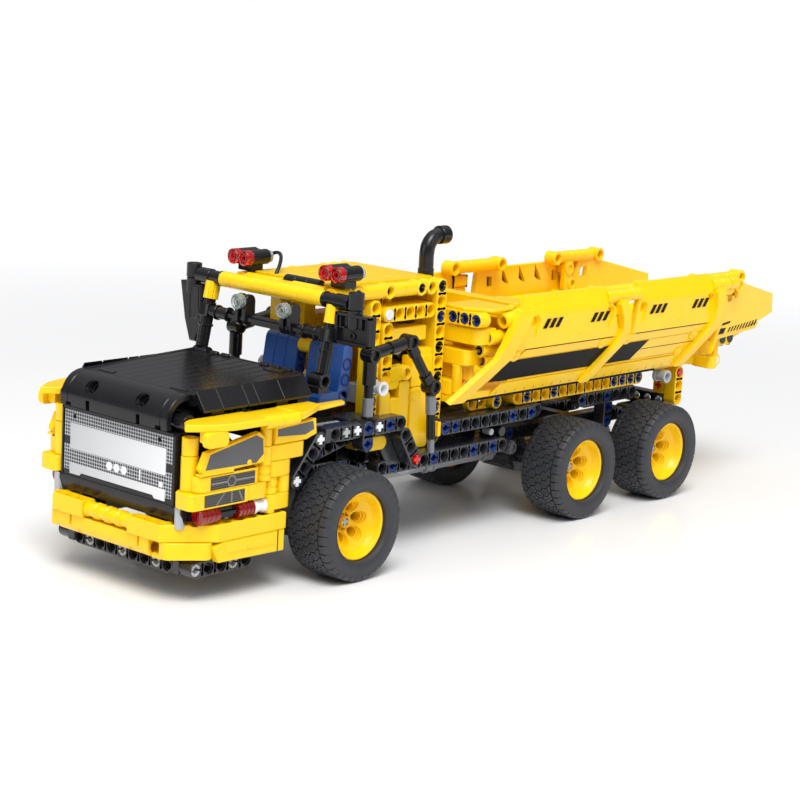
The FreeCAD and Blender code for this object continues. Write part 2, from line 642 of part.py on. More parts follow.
# --- front axle and steering ------------------------------------------------
parts = [box(-27.0, 27.0, front_axle_y - 5, front_axle_y + 5, axle_height - 10,
             rail_z - half)]
for s in (1, -1):
    for z0 in (axle_height + 9.2, axle_height - 14.0):
        x0, x1 = sorted([s * 20.0, s * kingpin_x.v])
        parts.append(box(x0, x1, front_axle_y - 4.5, front_axle_y + 4.5, z0, z0 + 4.8))
        parts.append(cyl("z", 4.5, s * kingpin_x, front_axle_y, z0, 4.8))
bores = [cyl("z", shaft_radius + run_gap, s * kingpin_x, front_axle_y, axle_height - 15.0, 30.0)
         for s in (1, -1)]
node("front_axle_carrier", [cut(fuse(parts), bores)])
for s, side in ((1, "left"), (-1, "right")):
    block = [box(s * kingpin_x - 4, s * kingpin_x + 4, front_axle_y - 6, front_axle_y + 6,
                 axle_height - 8.7, axle_height + 8.7),
             cyl("z", shaft_radius, s * kingpin_x, front_axle_y, axle_height - 13.6, 27.2),
             box(s * kingpin_x - 3.5, s * kingpin_x + 3.5, front_axle_y + 5, front_axle_y + 16,
                 axle_height - 8.7, axle_height - 4.7),
             cyl("z", 3.5, s * kingpin_x, front_axle_y + 16, axle_height - 8.7, 4.0)]
    node("knuckle_" + side, [cut(fuse(block), [
        cyl("x", shaft_radius + run_gap, s * kingpin_x - 5, front_axle_y, axle_height, 10.0),
        cyl("z", 2.6, s * kingpin_x, front_axle_y + 16, axle_height - 12, 12.0)])])
parts = [box(-kingpin_x, kingpin_x, front_axle_y + 13, front_axle_y + 19,
             axle_height - 13.2, axle_height - 9.2)]
for s in (1, -1):
    parts.append(cyl("z", 3.0, s * kingpin_x, front_axle_y + 16, axle_height - 13.2, 4.0))
    parts.append(cyl("z", 1.4, s * kingpin_x, front_axle_y + 16, axle_height - 10, 6.5))
node("steering_link", [fuse(parts)])


# --- wheels -----------------------------------------------------------------
def turned(pts, arcs=None, holes=False):
    """Profile given as (distance along the axle, radius), turned round X."""
    body = doc.addObject("PartDesign::Body", fresh("Turned"))
    sk = outline(body, "XY_Plane", pts, arcs=arcs)
    rev = body.newObject("PartDesign::Revolution", fresh("Turn"))
    rev.Profile = sk
    rev.ReferenceAxis = (sk, ["H_Axis"])
    rev.Angle = 360.0
    if holes:
        hs = outline_circle(body)
        pocket = body.newObject("PartDesign::Pocket", fresh("PinHole"))
        pocket.Profile = hs
        pocket.Type = "ThroughAll"
        pocket.Midplane = True
        ring = body.newObject("PartDesign::PolarPattern", fresh("PinHoles"))
        ring.Originals = [pocket]
        ring.Axis = (origin_plane(body, "X_Axis"), [""])
        ring.Angle = 360.0
        ring.Occurrences = 6
        body.Tip = ring
    return body


def outline_circle(body):
    sk = body.newObject("Sketcher::SketchObject", fresh("Outline"))
    sk.AttachmentSupport = [(origin_plane(body, "YZ_Plane"), "")]
    sk.MapMode = "FlatFace"
    g = sk.addGeometry(Part.Circle(V(0, pitch.v, 0), V(0, 0, 1), hole_radius.v), False)
    sk.addConstraint([Sketcher.Constraint("PointOnObject", g, 3, -2),
                      Sketcher.Constraint("DistanceY", -1, 1, g, 3, pitch.v),
                      Sketcher.Constraint("Radius", g, hole_radius.v)])
    sk.setExpression("Constraints[1]", pitch.t)
    sk.setExpression("Constraints[2]", hole_radius.t)
    return sk


def wheel(name, side, x, y, stub):
    s = 1
    turn = FreeCAD.Rotation(V(0, 0, 1), 0 if side > 0 else 180)
    w = tyre_width / 2
    rw = rim_width / 2
    r = wheel_radius
    tyre = turned([(s * (w - 1.4), rim_lip + 0.15), (s * (w - 1.0), 24.0),
                   (s * (w - tyre_shoulder), r), (-s * (w - tyre_shoulder), r),
                   (-s * (w - 1.0), 24.0), (-s * (w - 1.4), rim_lip + 0.15),
                   (-s * (rw - 1.7), rim_lip + 0.15), (-s * (rw - 1.7), rim_radius + 0.1),
                   (s * (rw - 1.7), rim_radius + 0.1), (s * (rw - 1.7), rim_lip + 0.15)],
                  arcs={0: (s * w.v, 20.6), 1: (s * (w.v - 3.0), 27.2),
                        3: (-s * (w.v - 3.0), 27.2), 4: (-s * w.v, 20.6)})
    place(tyre, x, y, axle_height, turn)
    node(name + "_tyre", [tyre])
    rim = turned([(-s * stub, 0), (-s * stub, shaft_radius), (-s * 8.0, shaft_radius),
                  (-s * 8.0, 5.0), (-s * 6.5, 5.0), (-s * 6.5, 13.0), (-s * rw, 13.0),
                  (-s * rw, rim_lip), (-s * (rw - 1.5), rim_lip), (-s * (rw - 1.5), rim_radius),
                  (s * (rw - 1.5), rim_radius), (s * (rw - 1.5), rim_lip), (s * rw, rim_lip),
                  (s * rw, 15.0), (s * 7.5, 13.0), (-s * 3.5, 13.0), (-s * 3.5, 5.0),
                  (-s * 1.0, 5.0), (-s * 1.0, 0)], holes=True)
    place(rim, x, y, axle_height, turn)
    node(name + "_rim", [rim])


for s, side in ((1, "left"), (-1, "right")):
    wheel("front_" + side, s, s * front_wheel_x, front_axle_y, 24.0)
    wheel("mid_" + side, s, s * rear_wheel_x, mid_axle_y, 27.0)
    wheel("rear_" + side, s, s * rear_wheel_x, rear_axle_y, 27.0)

# --- load bed ---------------------------------------------------------------
def cosq(a):
    return Q(math.cos(math.radians(a.v)), "cos(%s * 1 deg)" % a.t)


def sinq(a):
    return Q(math.sin(math.radians(a.v)), "sin(%s * 1 deg)" % a.t)


fold_x = bed_floor_x + bed_lower_run * sinq(bed_slope)
fold_z = bed_floor_z + bed_lower_run * cosq(bed_slope)


def skin(s, level, pts, t0, t1):
    """Panel lying in the slope of the bed's side; outline as (Y, height up the
    slope), thickness from t0 to t1 outwards."""
    angle = bed_slope if level == "lower" else bed_lean
    bx, bz = (bed_floor_x, bed_floor_z) if level == "lower" else (fold_x, fold_z)
    x = s * (bx + t0 * cosq(angle))
    z = bz - t0 * sinq(angle)
    body = prism("x", pts, 0, t1 - t0, rot=FreeCAD.Rotation(V(0, s, 0), angle.v),
                 at=(x, 0, z), back=(s < 0))
    body.setExpression("Placement.Rotation.Angle", "%s * 1 deg" % angle.t)
    return body


run1, run2 = bed_lower_run, bed_upper_run
floor = prism("x", [(-48.5, bed_floor_z), (-48.5, bed_floor_z - 4),
                    (bed_rear_y, bed_floor_z - 4), (232.0, 91.5), (232.0, 95.5),
                    (bed_rear_y - 1, bed_floor_z)], -bed_floor_x, bed_floor_x)
node("bed_floor", [floor])
sides, ribs, tails, rails = [], [], [], []
for s in (1, -1):
    low = skin(s, "lower", [(bed_front_y, 0), (150.0, 0), (172.0, run1), (-31.0, run1)], 0, plate)
    high = skin(s, "upper", [(-32.0, -1.6), (171.0, -1.6), (184.0, run2), (-14.0, run2)],
                0, plate)
    ledge = box(*(sorted([s * 44.0, s * 46.4]) + [bed_front_y + 6, 130.0, 74.2, 79.5]))
    sides.append(fuse([low, high, ledge]))
    one = []
    for y0, y1, y2, wdt in ((-59.0, -32.0, -14.0, 12.0), (56.0, 80.0, 88.0, 7.0),
                            (140.6, 162.6, 174.6, 9.0)):
        lo = skin(s, "lower", [(y0, 0), (y0 + wdt, 0), (y1 + wdt, run1), (y1, run1)],
                  plate, plate + 3.2)
        hi = skin(s, "upper", [(y1 - 0.6, -1.4), (y1 + wdt - 0.6, -1.4), (y2 + wdt, run2 + 1),
                               (y2, run2 + 1)], plate, plate + 3.0)
        one += [lo, hi]
    ribs.append(fuse(one + [cyl("y", 4.0, s * (bed_rail_x + 2.4), -8.0, bed_rail_z + 1.0,
                                186.0)]))
    ang = 7.5
    tail = prism("x", [(-6.0, 3.0), (2.0, 12.5), (56.0, 13.5), (tail_y - 172.0, 21.5),
                       (tail_y - 173.5, 33.5), (24.0, 45.5), (10.0, 49.0), (1.0, 27.0)], 0, 4.0,
                 rot=FreeCAD.Rotation(V(0, 0, s), ang), at=(s * 54.6, 172.0, bed_floor_z),
                 back=(s < 0))
    tails.append(tail)
node("bed_side_panels", sides)
node("bed_ribs", ribs)
node("bed_tail_panels", tails)
steps = []
for i in range(6):
    hx = 41.5 + 3.6 * i if i < 4 else 53.5 + 0.8 * (i - 3)
    y0 = -48.5 + 6.8 * i
    steps.append(box(-hx, hx, y0, y0 + 9.0, bed_floor_z + 8.0 * i, bed_floor_z + 8.0 * i + 8.0))
node("bed_front_wall", [fuse(steps)])
parts = []
for s in (1, -1):
    parts.append(liftarm(15, s * 36.0, 10.0, 70.2, Y, X))
    parts.append(liftarm(3, s * 36.0, -24.0, 70.2, Y, X))
parts2 = []
for s in (1, -1):
    ear = fuse([prism("x", [(hinge_y - 8, hinge_z), (hinge_y + 4, hinge_z), (hinge_y + 4, 79.3),
                            (hinge_y - 8, 77.2)], s * 32.0 - half, s * 32.0 + half),
                cyl("x", 4.4, s * 32.0 - half, hinge_y, hinge_z, beam)])
    parts2.append(cut(ear, [cyl("x", shaft_radius + run_gap, s * 32.0 - 6.0, hinge_y, hinge_z,
                                12.0)]))
beams = parts
parts = parts2
for s in (1, -1):
    parts.append(box(s * 6.9 - 1.9, s * 6.9 + 1.9, hoist_eye_y - 5, hoist_eye_y + 5,
                     hoist_eye_z - 5, bed_floor_z - 4))
node("bed_ears", parts)
parts = beams
for s in (1, -1):
    parts.append(fuse([cyl("z", 3.9, s * 48.2, 176.0, 79.9, 9.0),
                       cyl("z", 3.9, s * 48.2, 184.0, 79.9, 10.0),
                       box(*(sorted([s * 40.1, s * 52.1]) + [172.1, 187.9, 72.5, 80.0]))]))
node("bed_beams", parts)

# --- hoist ------------------------------------------------------------------
dy, dz = hoist_eye_y.v - hoist_base_y.v, hoist_eye_z.v - hoist_base_z.v
reach = math.hypot(dy, dz)
uy, uz = dy / reach, dz / reach


def on(d):
    return (0, hoist_base_y.v + uy * d, hoist_base_z.v + uz * d)


barrel = cut(fuse([rod(7.0, on(9.0), on(80.0)),
                   rod(4.0, on(0.5), on(9.5)),
                   cyl("x", 4.2, -6.6, hoist_base_y, hoist_base_z, 13.2)]),
             [rod(3.06, on(22.0), on(81.0)),
              cyl("x", shaft_radius + run_gap, -8.0, hoist_base_y, hoist_base_z, 16.0)])
node("hoist_barrel", [barrel])
node("hoist_rod", [fuse([rod(3.0, on(26.0), on(reach - 2.0)),
                         cyl("x", 3.4, -4.6, hoist_eye_y, hoist_eye_z, 9.2)])])

doc.recompute()

# --- checks and export ------------------------------------------------------
bad = [o.Name for o in doc.Objects if "Invalid" in o.State or "Error" in o.State]
if bad:
    raise RuntimeError("failed objects: %s" % ", ".join(bad))
for obj in nodes:
    if obj.Shape.isNull() or not obj.Shape.isValid():
        raise RuntimeError("bad shape: " + obj.Label)
os.makedirs("parts", exist_ok=True)
for obj in nodes:
    obj.Shape.exportStep("parts/%s.step" % obj.Label)
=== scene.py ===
import json
import math
import random

import bpy
import bmesh
from mathutils import Matrix, Vector


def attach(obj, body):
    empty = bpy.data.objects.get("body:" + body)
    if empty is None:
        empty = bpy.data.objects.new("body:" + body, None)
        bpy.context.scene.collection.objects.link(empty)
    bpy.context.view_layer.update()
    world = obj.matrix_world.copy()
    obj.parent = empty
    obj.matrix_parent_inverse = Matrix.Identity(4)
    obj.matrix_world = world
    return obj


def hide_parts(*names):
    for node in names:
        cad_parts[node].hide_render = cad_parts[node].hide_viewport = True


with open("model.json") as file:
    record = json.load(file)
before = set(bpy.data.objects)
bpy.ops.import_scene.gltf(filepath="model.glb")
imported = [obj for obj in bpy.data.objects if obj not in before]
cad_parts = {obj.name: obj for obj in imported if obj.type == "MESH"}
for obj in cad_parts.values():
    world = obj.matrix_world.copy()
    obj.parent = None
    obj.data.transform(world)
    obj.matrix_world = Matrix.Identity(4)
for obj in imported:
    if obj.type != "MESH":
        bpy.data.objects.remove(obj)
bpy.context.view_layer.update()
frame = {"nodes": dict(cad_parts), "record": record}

rng = random.Random(7)
SCENE = bpy.context.scene
SCENE.view_settings.view_transform = "Standard"
X, Y, Z = Vector((1, 0, 0)), Vector((0, 1, 0)), Vector((0, 0, 1))


# --- camera: the photograph's angle ------------------------------------------
def camera():
    px, py, pz, yaw, el, roll, f = (746.389, -885.573, 294.016, 41.499, 11.347, 3.212, 2128.745)
    a, e, r = math.radians(yaw), math.radians(el), math.radians(roll)
    back = Vector((math.sin(a) * math.cos(e), -math.cos(a) * math.cos(e), math.sin(e)))
    right = (-back).cross(Z).normalized()
    up = right.cross(-back)
    r2 = right * math.cos(r) + up * math.sin(r)
    u2 = -right * math.sin(r) + up * math.cos(r)
    cam = bpy.data.cameras.new("camera")
    cam.sensor_width = 36
    cam.lens = f / 800 * 36
    cam.clip_start = 0.05
    cam.clip_end = 20
    ob = bpy.data.objects.new("camera", cam)
    SCENE.collection.objects.link(ob)
    m = Matrix((r2, u2, back)).transposed().to_4x4()
    m.translation = Vector((px, py, pz)) / 1000
    ob.matrix_world = m
    SCENE.camera = ob


camera()


# --- materials ----------------------------------------------------------------
def nodes_of(name):
    m = bpy.data.materials.new(name)
    m.use_nodes = True
    nt = m.node_tree
    bsdf = nt.nodes["Principled BSDF"]
    return m, nt, bsdf


def moulded(name, color, rough=0.28, coat=0.25, vary=0.10, grain=0.02, spec=0.5, warm=None,
            bump=0.035, scale=1.0):
    """Moulded plastic: faint flow shading from piece to piece, a soft orange
    peel, and small roughness changes from handling."""
    m, nt, b = nodes_of(name)
    n, l = nt.nodes, nt.links
    tc = n.new("ShaderNodeTexCoord")
    big = n.new("ShaderNodeTexNoise")
    big.inputs["Scale"].default_value = 60 * scale
    big.inputs["Detail"].default_value = 2
    l.new(tc.outputs["Object"], big.inputs["Vector"])
    mix = n.new("ShaderNodeMix")
    mix.data_type = "RGBA"
    dark = [c * (1 - vary) for c in color]
    lite = [min(1, c * (1 + vary * 0.6)) for c in color]
    if warm:
        dark = [c * w for c, w in zip(dark, warm)]
    mix.inputs[6].default_value = (*dark, 1)
    mix.inputs[7].default_value = (*lite, 1)
    l.new(big.outputs["Fac"], mix.inputs[0])
    l.new(mix.outputs[2], b.inputs["Base Color"])
    fine = n.new("ShaderNodeTexNoise")
    fine.inputs["Scale"].default_value = 900 * scale
    fine.inputs["Detail"].default_value = 4
    l.new(tc.outputs["Object"], fine.inputs["Vector"])
    mr = n.new("ShaderNodeMapRange")
    mr.inputs["To Min"].default_value = rough - 0.05
    mr.inputs["To Max"].default_value = rough + 0.08
    l.new(fine.outputs["Fac"], mr.inputs["Value"])
    l.new(mr.outputs["Result"], b.inputs["Roughness"])
    peel = n.new("ShaderNodeTexNoise")
    peel.inputs["Scale"].default_value = 240 * scale
    peel.inputs["Detail"].default_value = 1
    l.new(tc.outputs["Object"], peel.inputs["Vector"])
    bp = n.new("ShaderNodeBump")
    bp.inputs["Strength"].default_value = bump
    bp.inputs["Distance"].default_value = 0.0006
    l.new(peel.outputs["Fac"], bp.inputs["Height"])
    l.new(bp.outputs["Normal"], b.inputs["Normal"])
    b.inputs["Coat Weight"].default_value = coat
    b.inputs["Coat Roughness"].default_value = 0.12
    b.inputs["Specular IOR Level"].default_value = spec
    return m


YEL = moulded("yellow_plastic", (0.98, 0.62, 0.003), rough=0.30, coat=0.16, vary=0.06, spec=0.32,
              warm=(1.0, 0.95, 0.6))
DGR = moulded("dark_grey_plastic", (0.022, 0.024, 0.030), rough=0.24, coat=0.35, vary=0.15, spec=0.45)
# near-black painted shade for the notches where two beam holes meet
RECESS_SHADE = moulded("painted_recess_shade", (0.006, 0.005, 0.004), rough=0.55, coat=0.0, vary=0.3, spec=0.1)
SLV = moulded("grey_gloss_plastic", (0.15, 0.16, 0.18), rough=0.20, coat=0.6, vary=0.08)
BRN = moulded("shaded_pocket", (0.17, 0.085, 0.006), rough=0.5, coat=0.0, vary=0.2, spec=0.15)
# lighter grey painted highlight for the face round the holes and the chamfers of dark grey beams
EDGE_HIGHLIGHT = moulded("dark_grey_edge", (0.42, 0.44, 0.475), rough=0.26, coat=0.4, vary=0.10, spec=0.5)
BLK = moulded("black_plastic", (0.008, 0.008, 0.0095), rough=0.24, coat=0.14, vary=0.2, spec=0.30)
LGR = moulded("light_grey_plastic", (0.40, 0.42, 0.45), rough=0.28, coat=0.3, vary=0.06)
WHT = moulded("white_plastic", (0.80, 0.82, 0.84), rough=0.28, coat=0.3, vary=0.04)
BLU = moulded("blue_plastic", (0.012, 0.085, 0.36), rough=0.28, coat=0.3, vary=0.10)
# darker copy of the blue plastic: the blue is the parts' own colour, the darkening is painted shade for pins
# sunk in their holes; also used on the seat rings
SHADED_BLUE = moulded("blue_plastic_with_painted_shade", (0.003, 0.028, 0.19), rough=0.30, coat=0.08, vary=0.15, spec=0.3)
REDP = moulded("red_plastic", (0.62, 0.012, 0.010), rough=0.28, coat=0.3, vary=0.08)


def clear(name, color, rough=0.06):
    m, nt, b = nodes_of(name)
    n, l = nt.nodes, nt.links
    tc = n.new("ShaderNodeTexCoord")
    w = n.new("ShaderNodeTexNoise")
    w.inputs["Scale"].default_value = 400
    l.new(tc.outputs["Object"], w.inputs["Vector"])
    mix = n.new("ShaderNodeMix")
    mix.data_type = "RGBA"
    mix.inputs[6].default_value = (*[c * 0.8 for c in color], 1)
    mix.inputs[7].default_value = (*color, 1)
    l.new(w.outputs["Fac"], mix.inputs[0])
    l.new(mix.outputs[2], b.inputs["Base Color"])
    b.inputs["Roughness"].default_value = rough
    b.inputs["Transmission Weight"].default_value = 0.75
    b.inputs["IOR"].default_value = 1.5
    b.inputs["Coat Weight"].default_value = 0.4
    return m


RED = clear("red_clear_plastic", (0.85, 0.012, 0.012))
CLR = clear("clear_plastic", (0.86, 0.95, 0.93))


def rubber():
    m, nt, b = nodes_of("tyre_rubber")
    n, l = nt.nodes, nt.links
    tc = n.new("ShaderNodeTexCoord")
    a = n.new("ShaderNodeTexNoise")
    a.inputs["Scale"].default_value = 120
    a.inputs["Detail"].default_value = 6
    l.new(tc.outputs["Object"], a.inputs["Vector"])
    mix = n.new("ShaderNodeMix")
    mix.data_type = "RGBA"
    mix.inputs[6].default_value = (0.022, 0.024, 0.029, 1)
    mix.inputs[7].default_value = (0.040, 0.042, 0.049, 1)
    l.new(a.outputs["Fac"], mix.inputs[0])
    l.new(mix.outputs[2], b.inputs["Base Color"])
    mr = n.new("ShaderNodeMapRange")
    mr.inputs["To Min"].default_value = 0.42
    mr.inputs["To Max"].default_value = 0.58
    l.new(a.outputs["Fac"], mr.inputs["Value"])
    l.new(mr.outputs["Result"], b.inputs["Roughness"])
    f = n.new("ShaderNodeTexNoise")
    f.inputs["Scale"].default_value = 2500
    l.new(tc.outputs["Object"], f.inputs["Vector"])
    bp = n.new("ShaderNodeBump")
    bp.inputs["Strength"].default_value = 0.08
    bp.inputs["Distance"].default_value = 0.0003
    l.new(f.outputs["Fac"], bp.inputs["Height"])
    l.new(bp.outputs["Normal"], b.inputs["Normal"])
    b.inputs["Specular IOR Level"].default_value = 0.45
    return m


TYR = rubber()


def perforated(name, base, hole, plane, size=2.0, rough=0.35, metal=0.0, ratio=0.30):
    """Printed perforated sheet: rows of round holes, staggered. plane names the
    two object axes it lies in."""
    m, nt, b = nodes_of(name)
    n, l = nt.nodes, nt.links
    tc = n.new("ShaderNodeTexCoord")
    sep = n.new("ShaderNodeSeparateXYZ")
    l.new(tc.outputs["Object"], sep.inputs[0])

    def math_(op, a, bb=None):
        k = n.new("ShaderNodeMath")
        k.operation = op
        for i, v in enumerate((a, bb)):
            if v is None:
                continue
            if isinstance(v, (int, float)):
                k.inputs[i].default_value = v
            else:
                l.new(v, k.inputs[i])
        return k.outputs[0]

    s = math.pi * 2000.0 / size
    u = math_("MULTIPLY", sep.outputs["XYZ".index(plane[0])], s)
    v = math_("MULTIPLY", sep.outputs["XYZ".index(plane[1])], s * 1.0)
    # cos(u)*cos(v) gives a staggered grid of round spots
    c = math_("MULTIPLY", math_("COSINE", u), math_("COSINE", v))
    k = math_("GREATER_THAN", math_("ABSOLUTE", c), 1 - ratio * 1.6)
    mix = n.new("ShaderNodeMix")
    mix.data_type = "RGBA"
    mix.inputs[6].default_value = (*base, 1)
    mix.inputs[7].default_value = (*hole, 1)
    l.new(k, mix.inputs[0])
    l.new(mix.outputs[2], b.inputs["Base Color"])
    noise = n.new("ShaderNodeTexNoise")
    noise.inputs["Scale"].default_value = 300
    l.new(tc.outputs["Object"], noise.inputs["Vector"])
    mr = n.new("ShaderNodeMapRange")
    mr.inputs["To Min"].default_value = rough - 0.05
    mr.inputs["To Max"].default_value = rough + 0.05
    l.new(noise.outputs["Fac"], mr.inputs["Value"])
    l.new(mr.outputs["Result"], b.inputs["Roughness"])
    b.inputs["Metallic"].default_value = metal
    return m


def foil(name, c0, c1, axis="Z", lo=0.0, hi=1.0, rough=0.3, metal=0.35, spec=0.5):
    """Printed foil with a soft shade from one side to the other."""
    m, nt, b = nodes_of(name)
    n, l = nt.nodes, nt.links
    tc = n.new("ShaderNodeTexCoord")
    sep = n.new("ShaderNodeSeparateXYZ")
    l.new(tc.outputs["Object"], sep.inputs[0])
    mr = n.new("ShaderNodeMapRange")
    mr.inputs["From Min"].default_value = lo / 1000
    mr.inputs["From Max"].default_value = hi / 1000
    l.new(sep.outputs["XYZ".index(axis)], mr.inputs["Value"])
    noise = n.new("ShaderNodeTexNoise")
    noise.inputs["Scale"].default_value = 1500
    l.new(tc.outputs["Object"], noise.inputs["Vector"])
    add = n.new("ShaderNodeMath")
    add.operation = "MULTIPLY_ADD"
    add.inputs[1].default_value = 0.08
    l.new(noise.outputs["Fac"], add.inputs[0])
    l.new(mr.outputs["Result"], add.inputs[2])
    mix = n.new("ShaderNodeMix")
    mix.data_type = "RGBA"
    mix.inputs[6].default_value = (*c0, 1)
    mix.inputs[7].default_value = (*c1, 1)
    l.new(add.outputs[0], mix.inputs[0])
    l.new(mix.outputs[2], b.inputs["Base Color"])
    b.inputs["Roughness"].default_value = rough
    b.inputs["Metallic"].default_value = metal
    b.inputs["Specular IOR Level"].default_value = spec
    return m


SILVER = foil("silver_print", (0.50, 0.51, 0.53), (0.80, 0.81, 0.82), "X", -36, 36)
GMESH = perforated("grille_mesh_print", (0.42, 0.43, 0.45), (0.012, 0.012, 0.014), "XZ", 3.4,
                   ratio=0.42)
CMESH = perforated("cheek_mesh_print", (0.020, 0.018, 0.016), (0.19, 0.17, 0.15), "YZ", 2.2,
                   ratio=0.14)
CARB = perforated("carbon_print", (0.045, 0.047, 0.052), (0.13, 0.135, 0.145), "YZ", 1.3,
                  ratio=0.42)
GLINE = foil("grey_line_print", (0.17, 0.17, 0.17), (0.24, 0.24, 0.24), "Z", 40, 80, metal=0.0)
# near-black print; also used as painted shade along the seams between parts
PRINT_AND_SEAM_SHADE = foil("black_print_and_seam_shade", (0.004, 0.004, 0.0045), (0.007, 0.007, 0.008), "Y", -60, 250, rough=0.5,
              metal=0.0, spec=0.12)

# --- mesh building ------------------------------------------------------------


def basis(origin, run, pin):
    """Local X along run, local Z along pin, in millimetres."""
    x = Vector(run).normalized()
    z = Vector(pin).normalized()
    y = z.cross(x)
    m = Matrix((x, y, z)).transposed().to_4x4()
    m.translation = Vector(origin)
    return m


class Build:
    def __init__(self):
        self.v, self.f, self.m = [], [], []

    def add(self, verts, faces, M=None, mat=0):
        k = len(self.v)
        if M is None:
            self.v += [tuple(p) for p in verts]
        else:
            self.v += [tuple(M @ Vector(p)) for p in verts]
        flip = M is not None and M.determinant() < 0
        many = isinstance(mat, list)
        for q, f in enumerate(faces):
            f = [i + k for i in f]
            self.f.append(f[::-1] if flip else f)
            self.m.append(mat[q] if many else mat)
        return self

    def join(self, other, M=None):
        k = len(self.v)
        self.v += [tuple(M @ Vector(p)) if M is not None else p for p in other.v]
        flip = M is not None and M.determinant() < 0
        for f, m in zip(other.f, other.m):
            f = [i + k for i in f]
            self.f.append(f[::-1] if flip else f)
            self.m.append(m)
        return self

    def both(self):
        """Adds the mirror image across the truck's middle."""
        o = Build()
        o.v, o.f, o.m = list(self.v), list(self.f), list(self.m)
        self.join(o, Matrix.Diagonal((-1, 1, 1, 1)))
        return self

    def done(self, name, body, mats, replaces=(), weld=0.004, angle=32):
        me = bpy.data.meshes.new(name)
        me.from_pydata([(a / 1000, b / 1000, c / 1000) for a, b, c in self.v], [], self.f)
        # dark grey pieces take a lighter grey on their tagged faces as painted highlight; every piece takes
        # near-black painted shade in the notches between holes
        if not isinstance(mats, (list, tuple)):
            mats = [mats, EDGE_HIGHLIGHT if mats.name == "dark_grey_plastic" else mats, RECESS_SHADE]
        if len(mats) > 2:
            mats = mats[:max(self.m, default=0) + 1]
        for mt in mats:
            me.materials.append(mt)
        me.polygons.foreach_set("material_index", self.m)
        bm = bmesh.new()
        bm.from_mesh(me)
        if weld:
            bmesh.ops.remove_doubles(bm, verts=bm.verts, dist=weld / 1000)
        bmesh.ops.dissolve_degenerate(bm, dist=1e-7, edges=bm.edges)
        bmesh.ops.recalc_face_normals(bm, faces=bm.faces)
        bm.to_mesh(me)
        bm.free()
        me.polygons.foreach_set("use_smooth", [True] * len(me.polygons))
        me.set_sharp_from_angle(angle=math.radians(angle))
        me.update()
        ob = bpy.data.objects.new(name, me)
        SCENE.collection.objects.link(ob)
        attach(ob, body)
        if replaces:
            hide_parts(*replaces)
        return ob


def inset(pts, d):
    n = len(pts)
    area = sum(pts[i][0] * pts[(i + 1) % n][1] - pts[(i + 1) % n][0] * pts[i][1] for i in range(n))
    s = 1 if area > 0 else -1
    out = []
    for i in range(n):
        a, b, c = Vector(pts[i - 1]), Vector(pts[i]), Vector(pts[(i + 1) % n])
        e1, e2 = (b - a).normalized(), (c - b).normalized()
        n1, n2 = Vector((-e1.y, e1.x)) * s, Vector((-e2.y, e2.x)) * s
        k = n1 + n2
        if k.length < 1e-6:
            k = n1
        k = k.normalized() / max(0.35, k.normalized().dot(n1))
        out.append((b.x + k.x * d, b.y + k.y * d))
    return out


def slab(pts, a0, a1, ch=0.3, ch0=None):
    """Outline in local XY padded from a0 to a1, edges broken by ch."""
    n = len(pts)
    if a1 < a0:
        a0, a1 = a1, a0
    c0 = ch if ch0 is None else ch0
    loops = []
    if c0:
        loops.append([(x, y, a0) for x, y in inset(pts, c0)])
        loops.append([(x, y, a0 + c0) for x, y in pts])
    else:
        loops.append([(x, y, a0) for x, y in pts])
    if ch:
        loops.append([(x, y, a1 - ch) for x, y in pts])
        loops.append([(x, y, a1) for x, y in inset(pts, ch)])
    else:
        loops.append([(x, y, a1) for x, y in pts])
    v = [p for lp in loops for p in lp]
    f = []
    for k in range(len(loops) - 1):
        for i in range(n):
            j = (i + 1) % n
            f.append([k * n + i, k * n + j, (k + 1) * n + j, (k + 1) * n + i])
    f.append(list(range(n))[::-1])
    f.append([(len(loops) - 1) * n + i for i in range(n)])
    return v, f


def rect(x0, x1, y0, y1, r=0.0, k=4):
    x0, x1 = min(x0, x1), max(x0, x1)
    y0, y1 = min(y0, y1), max(y0, y1)
    if r <= 0:
        return [(x0, y0), (x1, y0), (x1, y1), (x0, y1)]
    out = []
    for cx, cy, a in ((x1 - r, y0 + r, -90), (x1 - r, y1 - r, 0), (x0 + r, y1 - r, 90),
                      (x0 + r, y0 + r, 180)):
        for i in range(k + 1):
            t = math.radians(a + 90 * i / k)
            out.append((cx + r * math.cos(t), cy + r * math.sin(t)))
    return out


def capsule(L, r, k=10):
    """Round-ended strip from 0 to L."""
    out = []
    for i in range(k + 1):
        t = math.radians(-90 + 180 * i / k)
        out.append((L + r * math.cos(t), r * math.sin(t)))
    for i in range(k + 1):
        t = math.radians(90 + 180 * i / k)
        out.append((r * math.cos(t), r * math.sin(t)))
    return out


def turn(profile, n=32, closed=True, a0=0.0, a1=360.0):
    """Profile (z, r) revolved about local Z."""
    full = abs(a1 - a0) >= 359.9
    m = len(profile)
    cols = n if full else n + 1
    v = []
    for i in range(cols):
        t = math.radians(a0 + (a1 - a0) * i / n)
        for z, r in profile:
            v.append((r * math.cos(t), r * math.sin(t), z))
    f = []
    steps = m if closed else m - 1
    for i in range(n):
        j = (i + 1) % cols if full else i + 1
        for k in range(steps):
            k2 = (k + 1) % m
            f.append([i * m + k, j * m + k, j * m + k2, i * m + k2])
    if not full and closed:
        f.append(list(range(m)))
        f.append([(cols - 1) * m + k for k in range(m)][::-1])
    return v, f


def rod(r, L, ch=0.3, n=20):
    return turn([(0, 0), (0, r - ch), (ch, r), (L - ch, r), (L, r - ch), (L, 0)], n, closed=False)


def pipe(ro, ri, L, ch=0.3, n=24):
    return turn([(ch, ro), (L - ch, ro), (L, ro - ch), (L, ri + ch * 0.6), (L - ch, ri), (ch, ri),
                 (0, ri + ch * 0.6), (0, ro - ch)], n)


